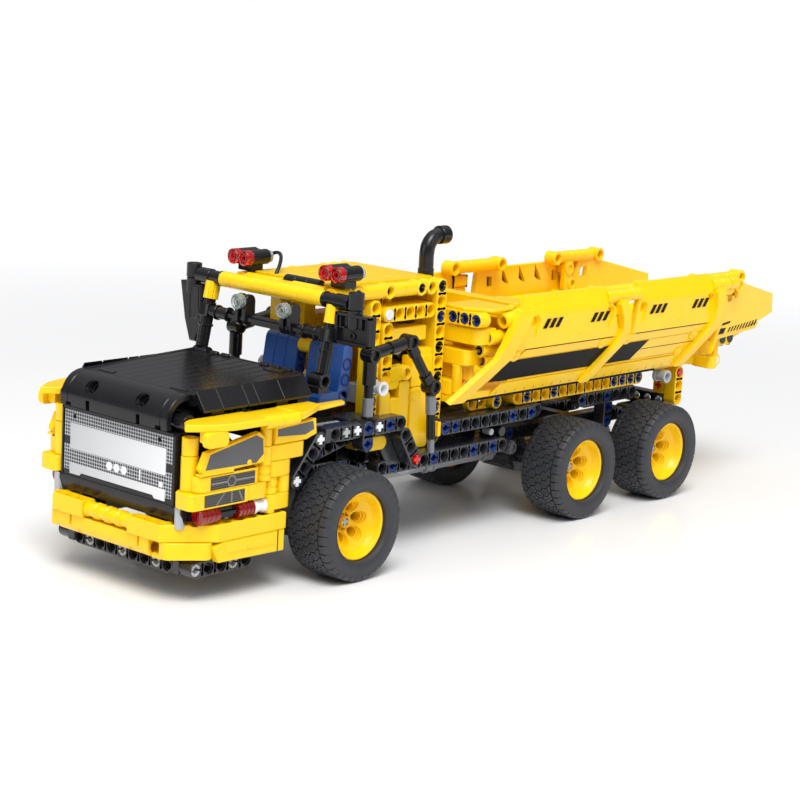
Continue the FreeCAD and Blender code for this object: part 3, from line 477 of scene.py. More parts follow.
def ring_cell(kind, w, r_in, depth, n=24, ch=0.35, pitch=8.0, half=3.9):
    """One hole of a beam; kind holds which ends are round: 'l', 'r', 'lr', ''."""
    rim_o, rim_i = [], []
    for i in range(n):
        t = 2 * math.pi * i / n
        c, s = math.cos(t), math.sin(t)
        round_here = ("r" in kind and c > 1e-6) or ("l" in kind and c < -1e-6)
        if round_here or abs(c) < 1e-6:
            rim_o.append((half * c, half * s, True))
            rim_i.append(((half - ch) * c, (half - ch) * s))
        else:
            k = min(pitch / 2 / abs(c), half / abs(s) if abs(s) > 1e-6 else 1e9)
            x, y = k * c, k * s
            if abs(abs(x) - abs(y)) < 0.2:
                x, y = math.copysign(pitch / 2, x), math.copysign(half, y)
            side = abs(abs(y) - half) < 1e-6
            rim_o.append((x, y, side))
            if side:
                rim_i.append((x, math.copysign(half - ch, y)))
            else:
                rim_i.append((x, max(-half + ch, min(half - ch, y))))
    v, f = [], []

    def loop(pts, z):
        k = len(v)
        v.extend([(x, y, z) for x, y in pts])
        return [k + i for i in range(n)]

    hw = w / 2
    circ = lambda r: [(r * math.cos(2 * math.pi * i / n), r * math.sin(2 * math.pi * i / n))
                      for i in range(n)]
    cb = 3.12
    # recess where two holes meet: marks the rim points lying on the joint
    low = [abs(abs(x) - pitch / 2) < 1e-3 and abs(y) < 2.6 for x, y in rim_i]
    lip = []
    for (x, y), d in zip(rim_i, low):
        if not d:
            lip.append((x, y))
        elif abs(y) > 1.5:
            lip.append((math.copysign(3.05, x), math.copysign(2.2, y)))
        else:
            lip.append((math.copysign(3.42, x), y))
    deep = min(2.3, hw - 0.6)

    def side_loops(sg):
        k0 = loop(rim_i, sg * hw)
        for i in range(n):
            if low[i]:
                x, y = rim_i[i]
                v[k0[i]] = (x, y, sg * (hw - deep))
        k1 = loop(lip, sg * hw)
        for i in range(n):
            if low[i]:
                x, y = lip[i]
                v[k1[i]] = (x, y, sg * (hw - deep))
        return [k0, k1, loop(lip, sg * hw), loop(circ(cb), sg * hw),
                loop(circ(cb), sg * (hw - depth)), loop(circ(r_in), sg * (hw - depth))]

    top, bot = side_loops(1), side_loops(-1)
    so = loop([(a, b) for a, b, _ in rim_o], hw - ch)
    sb = loop([(a, b) for a, b, _ in rim_o], -hw + ch)
    # tags pick the material slot: 0 the piece's colour, 1 the face round the holes and the chamfers (painted
    # highlight grey on dark grey beams), 2 the notches between holes (near-black painted shade)
    tag = []
    for i in range(n):
        j = (i + 1) % n
        for k in range(5):
            if k < 2 and not (low[i] or low[j]):
                continue
            f.append([top[k][i], top[k][j], top[k + 1][j], top[k + 1][i]])
            f.append([bot[k][j], bot[k][i], bot[k + 1][i], bot[k + 1][j]])
            tag += [(2, 2, 1, 0, 0)[k]] * 2
        f.append([top[5][i], top[5][j], bot[5][j], bot[5][i]])
        tag.append(0)
        if rim_o[i][2] and rim_o[j][2] and not (abs(rim_o[i][0] - rim_o[j][0]) < 1e-6 and
                                                abs(rim_o[i][0]) > pitch / 2 - 1e-3 and
                                                abs(rim_o[i][1]) < half - 1e-3):
            f.append([so[i], so[j], top[0][j], top[0][i]])
            f.append([sb[j], sb[i], bot[0][i], bot[0][j]])
            f.append([sb[i], sb[j], so[j], so[i]])
            tag += [1, 1, 0]
    return v, f, tag


_cells = {}


def beam(B, n, origin, run, pin, width=7.8, depth=0.9, hole=2.42, mat=0, cross=()):
    M = basis(origin, run, pin)
    for i in range(n):
        kind = ("l" if i == 0 else "") + ("r" if i == n - 1 else "")
        key = (kind, width, hole, depth)
        if key not in _cells:
            _cells[key] = ring_cell(kind, width, hole, depth)
        v, f, tag = _cells[key]
        B.add(v, f, M @ Matrix.Translation((8.0 * i, 0, 0)), [mat + t for t in tag])
    return B


def star(r=2.4, w=0.9, ch=0.0):
    """Cross section of a cross axle."""
    r2 = r - ch
    p = [(r2, -w), (r2, w), (w, w), (w, r2), (-w, r2), (-w, w), (-r2, w), (-r2, -w), (-w, -w),
         (-w, -r2), (w, -r2), (w, -w)]
    return p


def axle(B, a, b, mat=0, r=2.4):
    a, b = Vector(a), Vector(b)
    d = b - a
    ref = Z if abs(d.normalized().z) < 0.9 else X
    x = ref.cross(d).normalized()
    v, f = slab(star(r), 0, d.length, 0.25)
    B.add(v, f, basis(a, x, d), mat)


def bar(B, a, b, r, mat=0, ch=0.3, n=20):
    a, b = Vector(a), Vector(b)
    d = b - a
    ref = Z if abs(d.normalized().z) < 0.9 else X
    v, f = rod(r, d.length, ch, n)
    B.add(v, f, basis(a, ref.cross(d).normalized(), d), mat)


def sleeve(B, a, b, ro=3.9, ri=2.4, mat=0, n=24, ch=0.3, slot=False):
    a, b = Vector(a), Vector(b)
    d = b - a
    ref = Z if abs(d.normalized().z) < 0.9 else X
    v, f = pipe(ro, ri, d.length, ch, n)
    B.add(v, f, basis(a, ref.cross(d).normalized(), d), mat)


def bush(B, a, direction, mat=0, L=7.9, r=3.7):
    """Bush: two flanges and a waist, with a round hole through."""
    d = Vector(direction).normalized()
    ref = Z if abs(d.z) < 0.9 else X
    M = basis(a, ref.cross(d).normalized(), d)
    v, f = turn([(0.2, r), (1.6, r), (1.8, r - 0.2), (1.9, r - 0.75), (L - 1.9, r - 0.75),
                 (L - 1.8, r - 0.2), (L - 1.6, r), (L - 0.2, r), (L, r - 0.25), (L, 2.35),
                 (L - 0.6, 2.1), (0.6, 2.1), (0, 2.35), (0, r - 0.25)], 24)
    B.add(v, f, M, mat)


def peg(B, p, out, mat=0, deep=0.25):
    """End of a connecting pin seated in a hole; out points out of the hole."""
    d = Vector(out).normalized()
    ref = Z if abs(d.z) < 0.9 else X
    M = basis(Vector(p) - d * deep, ref.cross(d).normalized(), d)
    for a0, a1 in ((14, 166), (194, 346)):
        v, f = turn([(-2.6, 2.38), (-0.6, 2.38), (-0.55, 3.02), (-0.1, 3.02), (0, 2.9), (0, 1.85),
                     (-0.15, 1.7), (-2.6, 1.7)], 10, True, a0, a1)
        B.add(v, f, M, mat)
    v, f = turn([(-3.2, 0), (-3.2, 2.38), (-2.5, 2.38), (-2.5, 0)], 16, False)
    B.add(v, f, M, mat)


def peg_axle(B, p, out, mat=0, proud=0.4, L=4.0):
    d = Vector(out).normalized()
    p = Vector(p)
    axle(B, p - d * L, p + d * proud, mat)


def block(B, x0, x1, y0, y1, z0, z1, ch=0.35, mat=0, r=0.0, axis="z"):
    if axis == "z":
        v, f = slab(rect(x0, x1, y0, y1, r), min(z0, z1), max(z0, z1), ch)
        B.add(v, f, None, mat)
    elif axis == "x":
        v, f = slab(rect(y0, y1, z0, z1, r), min(x0, x1), max(x0, x1), ch)
        B.add(v, f, basis((0, 0, 0), Y, X), mat)
    else:
        v, f = slab([(-a, b) for a, b in rect(x0, x1, z0, z1, r)][::-1], min(y0, y1), max(y0, y1), ch)
        B.add(v, f, basis((0, 0, 0), -X, Y), mat)


def plan_x(B, pts, x0, x1, ch=0.35, mat=0):
    """Outline in (Y, Z), padded along X."""
    v, f = slab(pts, min(x0, x1), max(x0, x1), ch)
    B.add(v, f, basis((0, 0, 0), Y, X), mat)


def plan_z(B, pts, z0, z1, ch=0.35, mat=0):
    v, f = slab(pts, min(z0, z1), max(z0, z1), ch)
    B.add(v, f, None, mat)


def plan_y(B, pts, y0, y1, ch=0.35, mat=0):
    """Outline in (X, Z), padded along Y."""
    v, f = slab([(-a, b) for a, b in pts][::-1], min(y0, y1), max(y0, y1), ch)
    B.add(v, f, basis((0, 0, 0), -X, Y), mat)


def hose(B, pts, r, mat=0, n=14, sub=8):
    """Round tube along a smooth line through points."""
    P = [Vector(p) for p in pts]
    P = [P[0] * 2 - P[1]] + P + [P[-1] * 2 - P[-2]]
    line = []
    for i in range(1, len(P) - 2):
        for k in range(sub):
            t = k / sub
            a, b, c, d = P[i - 1], P[i], P[i + 1], P[i + 2]
            line.append(0.5 * ((2 * b) + (-a + c) * t + (2 * a - 5 * b + 4 * c - d) * t * t +
                               (-a + 3 * b - 3 * c + d) * t ** 3))
    line.append(P[-2])
    v, f = [], []
    up = None
    for i, p in enumerate(line):
        d = (line[min(i + 1, len(line) - 1)] - line[max(i - 1, 0)]).normalized()
        if up is None:
            up = (Z if abs(d.z) < 0.9 else X)
        u = (up - d * up.dot(d)).normalized()
        w = d.cross(u)
        up = u
        for k in range(n):
            t = 2 * math.pi * k / n
            v.append(tuple(p + u * (r * math.cos(t)) + w * (r * math.sin(t))))
    m = len(line)
    for i in range(m - 1):
        for k in range(n):
            j = (k + 1) % n
            f.append([i * n + k, i * n + j, (i + 1) * n + j, (i + 1) * n + k])
    f.append(list(range(n))[::-1])
    f.append([(m - 1) * n + k for k in range(n)])
    B.add(v, f, None, mat)


def sticker(B, pts3, normal, t=0.12, mat=0):
    """Thin printed patch on a flat place, lifted by its own thickness."""
    nrm = Vector(normal).normalized() * t
    n = len(pts3)
    v = [tuple(Vector(p)) for p in pts3] + [tuple(Vector(p) + nrm) for p in pts3]
    f = [[n + i for i in range(n)], list(range(n))[::-1]]
    for i in range(n):
        j = (i + 1) % n
        f.append([i, j, n + j, n + i])
    B.add(v, f, None, mat)


# --- wheels -------------------------------------------------------------------
AXLE_Z = 28.0
WHEELS = [("front_left", 1, 56.5, -142.0, 24.0), ("front_right", -1, -56.5, -142.0, 24.0),
          ("mid_left", 1, 47.5, 50.0, 27.0), ("mid_right", -1, -47.5, 50.0, 27.0),
          ("rear_left", 1, 47.5, 130.0, 27.0), ("rear_right", -1, -47.5, 130.0, 27.0)]


def crown(v):
    """Radius of the tread face at v millimetres from the tyre's middle."""
    return 27.95 - 0.0036 * v * v


def tread_block(B, a0, poly, lift=0.0, dimple=None):
    """Raised block: poly in (axial, along) millimetres round the angle a0."""
    cx = sum(p[0] for p in poly) / len(poly)
    cy = sum(p[1] for p in poly) / len(poly)
    n = len(poly)
    big = max(math.hypot(x - cx, y - cy) for x, y in poly)
    loops = []
    spec = [(0.16, -1.15), (0.0, -0.16), (-0.15, 0.0)]
    if dimple:
        spec += [(-big * (1 - dimple), 0.0), (-big * (1 - dimple) - 0.12, -0.3)]
    for grow, dr in spec:
        lp = []
        k = 1 + grow / big
        for x, y in poly:
            vv = cx + (x - cx) * k
            a = a0 + (cy + (y - cy) * k) / 28.0
            r = crown(vv) + dr + lift
            lp.append((r * math.cos(a), r * math.sin(a), vv))
        loops.append(lp)
    v = [p for lp in loops for p in lp]
    f = []
    for k in range(len(loops) - 1):
        for j in range(n):
            j2 = (j + 1) % n
            f.append([k * n + j, k * n + j2, (k + 1) * n + j2, (k + 1) * n + j])
    f.append([(len(loops) - 1) * n + j for j in range(n)])
    f.append(list(range(n))[::-1])
    B.add(v, f)


def tyre_build():
    B = Build()
    # carcass: sidewalls, shoulder and the tread's groove floor (axial z, radius)
    out = [(8.3, 15.15), (8.3, 17.5), (12.0, 17.55), (12.45, 17.9), (12.7, 18.6), (13.1, 20.0),
           (13.25, 21.6), (13.2, 23.2), (13.0, 24.8), (12.7, 25.9), (12.1, 26.45), (10.6, 26.6),
           (8.6, 26.7)]
    prof = out + [(5.0, 26.85), (0.0, 26.95), (-5.0, 26.85)] + [(-z, r) for z, r in out[::-1]]
    v, f = turn(prof, 108)
    B.add(v, f)
    for s in (1, -1):
        v, f = turn([(s * 12.5, 18.35), (s * 12.92, 18.55), (s * 12.92, 18.75), (s * 12.6, 18.9)], 96)
        B.add(v, f)
    N = 36
    da = 2 * math.pi / N
    pitch = 2 * math.pi * 27.9 / N
    R = pitch / math.sqrt(3) - 0.30
    for row in range(-1, 2):
        for i in range(N):
            a0 = (i + (0.5 if row % 2 else 0.0)) * da
            hexa = [(row * 4.3 + R * math.cos(math.radians(60 * k)), R * math.sin(math.radians(60 * k)))
                    for k in range(6)]
            tread_block(B, a0, hexa, dimple=0.45)
    for s in (1, -1):
        for i in range(N):
            a0 = i * da
            half = [(5.75, 0.0), (7.05, 2.12), (8.25, 2.12), (8.25, -2.12), (7.05, -2.12)]
            half = [(s * x, y) for x, y in half]
            tread_block(B, a0, half if s > 0 else half[::-1])
            c = (i + 0.5) * da
            hw = da / 2 * 0.90
            sect = [(8.75, 26.3), (8.8, crown(8.8) - 0.15), (9.0, crown(9)), (11.85, 27.42),
                    (12.1, 27.3), (12.75, 26.5), (13.05, 25.6), (13.1, 24.9), (12.6, 24.6),
                    (11.0, 25.6)]
            n = len(sect)
            v, f = [], []
            for e, k in ((-hw, 0.0), (-hw * 0.93, 1.0), (hw * 0.93, 1.0), (hw, 0.0)):
                for z, r in sect:
                    rr = r - (1 - k) * 0.2
                    v.append((rr * math.cos(c + e), rr * math.sin(c + e), s * z))
            for k in range(3):
                for j in range(n):
                    j2 = (j + 1) % n
                    f.append([k * n + j, k * n + j2, (k + 1) * n + j2, (k + 1) * n + j])
            f.append(list(range(n)))
            f.append([3 * n + j for j in range(n)][::-1])
            B.add(v, f)
    return B


def cone(r):
    """Height of the dish's sloping web at radius r."""
    return -0.9 + (r - 4.45) * 0.735


def rim_build(stub):
    """Rim seen from outside along +Z local; depth measured from its middle."""
    B = Build()
    n = 96
    prof = [(10.0, 16.2), (10.15, 16.75), (9.9, 17.25), (9.2, 17.4), (8.5, 17.1), (8.4, 15.1),
            (-8.4, 15.1), (-8.5, 17.1), (-9.4, 17.4), (-10.0, 17.0), (-10.0, 14.0), (-9.2, 13.2),
            (-4.9, 12.9), (-4.9, 11.6)]
    v, f = turn([(z, r) for z, r in prof], n, closed=False)
    B.add(v, f)
    # dish wall: rolled lip, steep wall, then the sloping web
    v, f = turn([(10.0, 16.2), (9.75, 15.8), (9.2, 15.55), (8.7, 15.45), (6.45, 13.95),
                 (cone(13.7) + 0.1, 13.78), (cone(13.7), 13.7)], n, closed=False)
    B.add(v, f)
    k6 = 32

    turns = [2 * math.pi * i / k6 for i in range(k6)]
    for want in (60.57, -60.57, 151.8, -151.8):
        w = math.radians(want) % (2 * math.pi)
        k = min(range(k6), key=lambda i: abs(turns[i] - w))
        turns[k] = w

    def edge(lo_r, hi_r):
        pts = []
        for t in turns:
            dx, dy = math.cos(t), math.sin(t)
            lo, hi = 0.0, 20.0
            for _ in range(40):
                m = (lo + hi) / 2
                x, y = 8 + dx * m, dy * m
                r = math.hypot(x, y)
                if lo_r < r < hi_r and abs(math.atan2(y, x)) < math.pi / 6:
                    lo = m
                else:
                    hi = m
            pts.append((8 + dx * lo, dy * lo))
        return pts

    front, back = edge(4.45, 13.7), edge(4.45, 11.6)
    for h in range(6):
        mid = math.radians(60 * h + 30)
        c, s = math.cos(mid), math.sin(mid)

        def P(x, y, z):
            return (x * c - y * s, x * s + y * c, z)

        def circ(r, z):
            out = []
            for t in turns:
                x, y = 8 + r * math.cos(t), r * math.sin(t)
                if isinstance(z, tuple):
                    zz = cone(math.hypot(x, y)) * z[0] + z[1]
                else:
                    zz = z
                out.append(P(x, y, zz))
            return out

        ring0 = [P(x, y, cone(math.hypot(x, y))) for x, y in front]
        loops = [ring0, circ(3.5, (1, 0)), circ(3.42, (0.85, -0.55)),
                 circ(3.0, (0.85, -0.55)), circ(2.93, (0.65, -1.1)), circ(2.45, (0.65, -1.1)),
                 circ(2.42, -4.9)]
        v = [p for lp in loops for p in lp]
        f = []
        for a in range(len(loops) - 1):
            for i in range(k6):
                j = (i + 1) % k6
                f.append([a * k6 + i, a * k6 + j, (a + 1) * k6 + j, (a + 1) * k6 + i])
        B.add(v, f)
        loops = [[P(x, y, -4.9) for x, y in back], circ(2.45, -4.9)]
        v = [p for lp in loops for p in lp]
        f = [[k6 + i, k6 + (i + 1) % k6, (i + 1) % k6, i] for i in range(k6)]
        B.add(v, f)
        # thin rib from the hub to the web
        v, f = slab(rect(2.8, 4.75, -0.35, 0.35), -3.2, -1.2, 0.1)
        B.add(v, f, Matrix.Rotation(mid, 4, "Z"))
    # inner side of the web
    v, f = turn([(cone(4.45), 4.45), (-3.2, 4.45), (-3.2, 0)], 48, closed=False)
    B.add(v, f)
    v, f = turn([(-4.9, 0), (-4.9, 4.45)], 48, closed=False)
    B.add(v, f)
    # hub
    v, f = pipe(2.95, 2.45, 4.2, 0.12, 32)
    B.add(v, f, Matrix.Translation((0, 0, -3.2)))
    # boss on the inner side
    v, f = turn([(-4.9, 5.4), (-8.0, 5.0), (-8.0, 2.5), (-4.9, 2.5)], 32)
    B.add(v, f)
    return B


TYRE, RIM = tyre_build(), {}
for wname, s, wx, wy, stub in WHEELS:
    M = basis((wx, wy, AXLE_Z), Z if s > 0 else Z, (s, 0, 0))
    spin = {"front_left": 12, "front_right": 50, "mid_left": 17, "mid_right": 31, "rear_left": 8,
            "rear_right": 44}[wname]
    M = M @ Matrix.Rotation(math.radians(spin), 4, "Z")
    Build().join(TYRE, M).done(wname + "_tyre_tread", wname + "_wheel", TYR,
                               replaces=[wname + "_tyre"], weld=0.003, angle=35)
    B = Build().join(rim_build(stub), M)
    B.done(wname + "_rim_dish", wname + "_wheel", YEL, replaces=[wname + "_rim"], weld=0.003)
    A = Build()
    axle(A, M @ Vector((0, 0, -stub)), M @ Vector((0, 0, 0.75)))
    if wname.startswith("front"):
        bush(A, M @ Vector((0, 0, -stub + 10.5)), (s, 0, 0), 0, 5.4, 3.6)
    A.done(wname + "_axle", wname + "_wheel", LGR)

# --- cutting and small parts ----------------------------------------------------


def mesh_of(B, name):
    me = bpy.data.meshes.new(name)
    me.from_pydata([(a / 1000, b / 1000, c / 1000) for a, b, c in B.v], [], B.f)
    me.materials.append(BLK)
    bm = bmesh.new()
    bm.from_mesh(me)
    bmesh.ops.recalc_face_normals(bm, faces=bm.faces)
    bm.to_mesh(me)
    bm.free()
    return me


def carve(ob, cutter, angle=32):
    """Takes the cutter's solids out of a finished piece."""
    co = bpy.data.objects.new("cutter", mesh_of(cutter, "cutter"))
    SCENE.collection.objects.link(co)
    mod = ob.modifiers.new("carve", "BOOLEAN")
    mod.operation = "DIFFERENCE"
    mod.solver = "EXACT"
    mod.use_self = True
    mod.object = co
    bpy.context.view_layer.update()
    dg = bpy.context.evaluated_depsgraph_get()
    new = bpy.data.meshes.new_from_object(ob.evaluated_get(dg))
    ob.modifiers.clear()
    old = ob.data
    ob.data = new
    cm = co.data
    bpy.data.objects.remove(co)
    bpy.data.meshes.remove(cm)
    bpy.data.meshes.remove(old)
    bm = bmesh.new()
    bm.from_mesh(new)
    bmesh.ops.dissolve_degenerate(bm, dist=1e-7, edges=bm.edges)
    bm.to_mesh(new)
    bm.free()
    new.polygons.foreach_set("use_smooth", [True] * len(new.polygons))
    new.set_sharp_from_angle(angle=math.radians(angle))
    new.update()
    return ob


def drill(C, p, d, deep, r=2.42, cb=3.12, sink=0.9, n=20):
    """Counterbored hole from p along d."""
    d = Vector(d).normalized()
    ref = Z if abs(d.z) < 0.9 else X
    M = basis(Vector(p) - d * 0.6, ref.cross(d).normalized(), d)
    v, f = turn([(0, 0), (0, cb), (sink + 0.6, cb), (sink + 0.6, r), (deep + 0.6, r),
                 (deep + 0.6, 0)], n, False)
    C.add(v, f, M)
    return C


def arc_pts(cx, cy, r, a0, a1, n=6):
    return [(cx + r * math.cos(math.radians(a0 + (a1 - a0) * i / n)),
             cy + r * math.sin(math.radians(a0 + (a1 - a0) * i / n))) for i in range(n + 1)]


def ring(B, p, d, ro=3.05, ri=2.3, t=0.35, mat=0):
    """Thin raised ring on a face."""
    d = Vector(d).normalized()
    p = Vector(p)
    sleeve(B, p - d * 0.3, p + d * t, ro, ri, mat, ch=0.12)


def ribbed(B, a, b, r, n_rib, mat=0, low=0.35):
    a, b = Vector(a), Vector(b)
    d = b - a
    L = d.length
    prof = [(0, 0), (0, r - 0.3), (0.3, r)]
    step = (L - 0.6) / n_rib
    for i in range(n_rib):
        z = 0.3 + i * step
        prof += [(z + step * 0.55, r), (z + step * 0.62, r - low), (z + step * 0.93, r - low),
                 (z + step, r)]
    prof += [(L, r - 0.3), (L, 0)]
    ref = Z if abs(d.normalized().z) < 0.9 else X
    v, f = turn(prof, 22, False)
    B.add(v, f, basis(a, ref.cross(d).normalized(), d), mat)


def fluted(B, a, b, r, n_fl=12, mat=0, low=0.35, ch=0.3):
    """Round bar with lengthwise grooves, as on an axle sleeve."""
    a, b = Vector(a), Vector(b)
    d = b - a
    pts = []
    for i in range(n_fl):
        for k, rr in ((0.0, r), (0.55, r), (0.68, r - low), (0.88, r - low)):
            t = 2 * math.pi * (i + k) / n_fl
            pts.append((rr * math.cos(t), rr * math.sin(t)))
    ref = Z if abs(d.normalized().z) < 0.9 else X
    v, f = slab(pts, 0, d.length, 0)
    B.add(v, f, basis(a, ref.cross(d).normalized(), d), mat)

# --- bumper ---------------------------------------------------------------------
B = Build()
C = Build()
top = [(16.2, -247.5), (38.5, -247.5), (55.0, -225.0), (55.0, -181.5), (47.2, -181.5),
       (47.2, -222.6), (34.6, -239.7), (16.2, -239.7)]
plan_z(B, top, 30.6, 39.0, 0.45)
for x in (20.4, 28.4, 36.0):
    drill(C, (x, -243.6, 39.0), -Z, 12)
    drill(C, (x, -243.6, 30.6), Z, 1.2)
for y in (-217.5, -209.5, -201.5, -193.5, -185.5):
    drill(C, (51.1, y, 39.0), -Z, 12)
for x, y in ((46.1, -232.5), (41.4, -238.6)):
    drill(C, (x, y, 39.0), -Z, 12)
B.both()
C.both()
ob = B.done("bumper_beams", "frame", YEL, ["front_bumper"])
carve(ob, C)

B = Build()
for i in range(4):
    x = -16.0 + 8.02 * i
    v, f = turn([(0.1, 3.7), (0.5, 4.1), (1.7, 4.1), (1.9, 3.55), (6.0, 3.55), (6.2, 4.1),
                 (7.4, 4.1), (7.85, 3.7), (7.85, 2.4), (0.1, 2.4)], 26)
    B.add(v, f, basis((x, -243.2, 34.9), Y, X))
B.done("bumper_bushes", "frame", YEL)
B = Build()
axle(B, (-22, -243.2, 34.9), (22, -243.2, 34.9))
B.done("bumper_axle", "frame", BLK)

# lower roll, corner beams and skirts
B = Build()
C = Build()
prof = [(-235.6, 30.5), (-246.2, 30.5), (-246.4, 27.6)] + \
    [(-241.6 + 4.8 * math.cos(math.radians(a)), 26.0 + 4.9 * math.sin(math.radians(a)))
     for a in range(180, 271, 10)] + [(-236.0, 21.1)]
prof = [(a, b) for a, b in prof]
plan_x(B, prof[::-1], -36.0, 30.0, 0.35)
v, f = rod(3.0, 12)
C.add(v, f, basis((19.5, -241.6, 26.0), Y, X))
for x in (-26.0, 23.0):
    block(C, x - 0.8, x + 0.8, -249.0, -245.2, 25.5, 32.0, 0)
for x in (-19.0, 18.0):
    v, f = rod(2.2, 3)
    C.add(v, f, basis((x, -244.6, 23.0), X, (0, -0.75, -0.66)))
ob = B.done("bumper_roll", "frame", YEL, ["bumper_lower"])
carve(ob, C)
B = Build()
block(B, 30.2, 36.4, -244.0, -236.0, 21.3, 24.0, 0.4)
block(B, 30.2, 36.4, -239.5, -235.8, 24.0, 30.5, 0.3)
B.done("bumper_roll_end", "frame", YEL)
B = Build()
for s in (1,):
    a, b = Vector((39.4, -241.9, 0)), Vector((49.2, -229.0, 0))
    d = (b - a)
    v, f = slab(capsule(d.length, 3.9), 22.4, 30.5, 0.4)
    B.add(v, f, basis(a, d, Z))
    plan_z(B, [(36.6, -245.4), (40.0, -246.0), (43.2, -238.4), (36.6, -236.2)], 22.6, 30.4, 0.3)
    pts = [(-228.0, 28.0), (-224.0, 20.6), (-182.1, 19.8), (-181.5, 20.4), (-181.5, 30.5),
           (-222.0, 30.5)]
    plan_x(B, pts, 50.0, 54.7, 0.5)
    plan_x(B, [(-221.5, 29.4), (-219.0, 24.6), (-188.0, 23.6), (-188.0, 29.4)], 54.5, 55.0, 0.2)
    v, f = rod(1.9, 1.2)
    B.add(v, f, basis((54.2, -205.0, 26.4), Y, X))
    block(B, 54.4, 55.0, -196.5, -188.6, 20.9, 22.6, 0.15, 0, 0.5, "x")
corner = Build()
corner.v, corner.f, corner.m = list(B.v), list(B.f), list(B.m)
B.join(corner, Matrix.Diagonal((-1, 1, 1, 1)))
B.done("bumper_skirts", "frame", YEL)
# thin near-black strip at the skirt joint: painted shade in the gap between parts
B = Build()
for y in (-186.2,):
    for s in (1, -1):
        block(B, s * 54.6, s * 55.02, y - 0.16, y + 0.16, 20.2, 30.4, 0)
B.done("skirt_seam_shade", "frame", PRINT_AND_SEAM_SHADE)

# dark framework under the bumper
B = Build()
beam(B, 9, (-32, -232.1, 16.7), X, Y)
for s in (1, -1):
    beam(B, 5, (s * 44.0, -232.0, 16.7), Y, X)
    block(B, s * 35.9, s * 40.1, -235.8, -228.4, 13.2, 20.2, 0.4)
    block(B, s * 26.1, s * 33.9, -233.0, -225.2, 20.1, 40.0, 0.4)
    block(B, s * 16.1, s * 29.9, -233.0, -222.2, 32.1, 47.8, 0.4)
B.done("bumper_frame", "frame", DGR, ["bumper_brackets"])
B = Build()
for s in (1, -1):
    for y in (-232.0, -208.0):
        peg(B, (s * 47.9, y, 16.7), (s, 0, 0))
for x in (-24, 0, 24):
    peg(B, (x, -236.0, 16.7), (0, -1, 0))
B.done("bumper_frame_pins", "frame", LGR)
B = Build()
for s in (1, -1):
    bar(B, (s * 43.5, -239.5, 37.0), (s * 43.5, -239.5, 47.3), 2.4)
B.done("grille_axles", "frame", LGR)

# --- grille ---------------------------------------------------------------------
B = Build()
plan_y(B, [(-40.3, 81.5), (40.3, 81.5), (40.3, 46.2), (-40.3, 46.2)], -240.6, -234.0, 0.5)
for s in (1, -1):
    block(B, s * 39.4, s * 40.5, -241.0, -240.4, 46.4, 81.3, 0.2)
block(B, -40.3, 40.3, -241.0, -240.4, 79.9, 81.4, 0.2)
plan_x(B, [(-241.0, 47.3), (-241.0, 44.5), (-239.4, 39.5), (-237.0, 39.5), (-237.0, 47.3)][::-1],
       -46.0, 46.0, 0.45)
block(B, -40.2, 40.2, -237.2, -234.0, 39.5, 46.6, 0.3)
B.done("grille_frame", "frame", BLK, ["grille_panel"])


def patch_y(B, pts, y, t=0.14, mat=0):
    sticker(B, [(a, y, b) for a, b in pts], (0, -1, 0), t, mat)


B = Build()
gy = -240.62
patch_y(B, [(-38.6, 73.2), (38.6, 73.2), (38.6, 79.6), (-38.6, 79.6)], gy)
patch_y(B, [(-34.4, 53.6), (34.4, 53.6), (34.4, 61.0), (-34.4, 61.0)], gy)
for s in (1, -1):
    patch_y(B, [(s * 34.4, 66.6), (s * 38.6, 66.6), (s * 38.6, 73.2), (s * 34.4, 73.2)], gy)
    patch_y(B, [(s * 34.4, 50.2), (s * 38.6, 50.2), (s * 38.6, 62.6), (s * 34.4, 62.6)], gy)
B.done("grille_mesh", "frame", GMESH)
B = Build()
patch_y(B, [(-34.3, 60.8), (34.3, 60.8), (34.3, 73.4), (-34.3, 73.4)], gy, 0.26)
patch_y(B, [(-34.3, 54.0), (-34.3, 48.4), (-27.0, 48.4), (-25.6, 49.8), (25.6, 49.8),
            (27.0, 48.4), (34.3, 48.4), (34.3, 54.0)], gy, 0.26)
B.done("grille_plates", "frame", SILVER)
B = Build()
for x in (-5.2, 0.0, 5.2):
    v, f = slab(arc_pts(0, 0, 2.3, 0, 300, 5), 0, 0.5, 0.15)
    B.add(v, f, basis((x, gy, 57.4), X, (0, -1, 0)))
patch_y(B, [(16.2, 55.0), (17.0, 55.0), (17.0, 60.0), (16.2, 60.0)], gy, 0.4)
patch_y(B, [(30.2, 54.6), (32.6, 54.6), (32.6, 57.2), (30.2, 57.2)], gy, 0.4)
B.done("grille_nuts", "frame", WHT)
B = Build()
for x in (-31.5, 29.5):
    v, f = rod(1.1, 0.5, 0.15, 14)
    B.add(v, f, basis((x, gy, 76.8), X, (0, -1, 0)))
B.done("grille_dots", "frame", PRINT_AND_SEAM_SHADE)

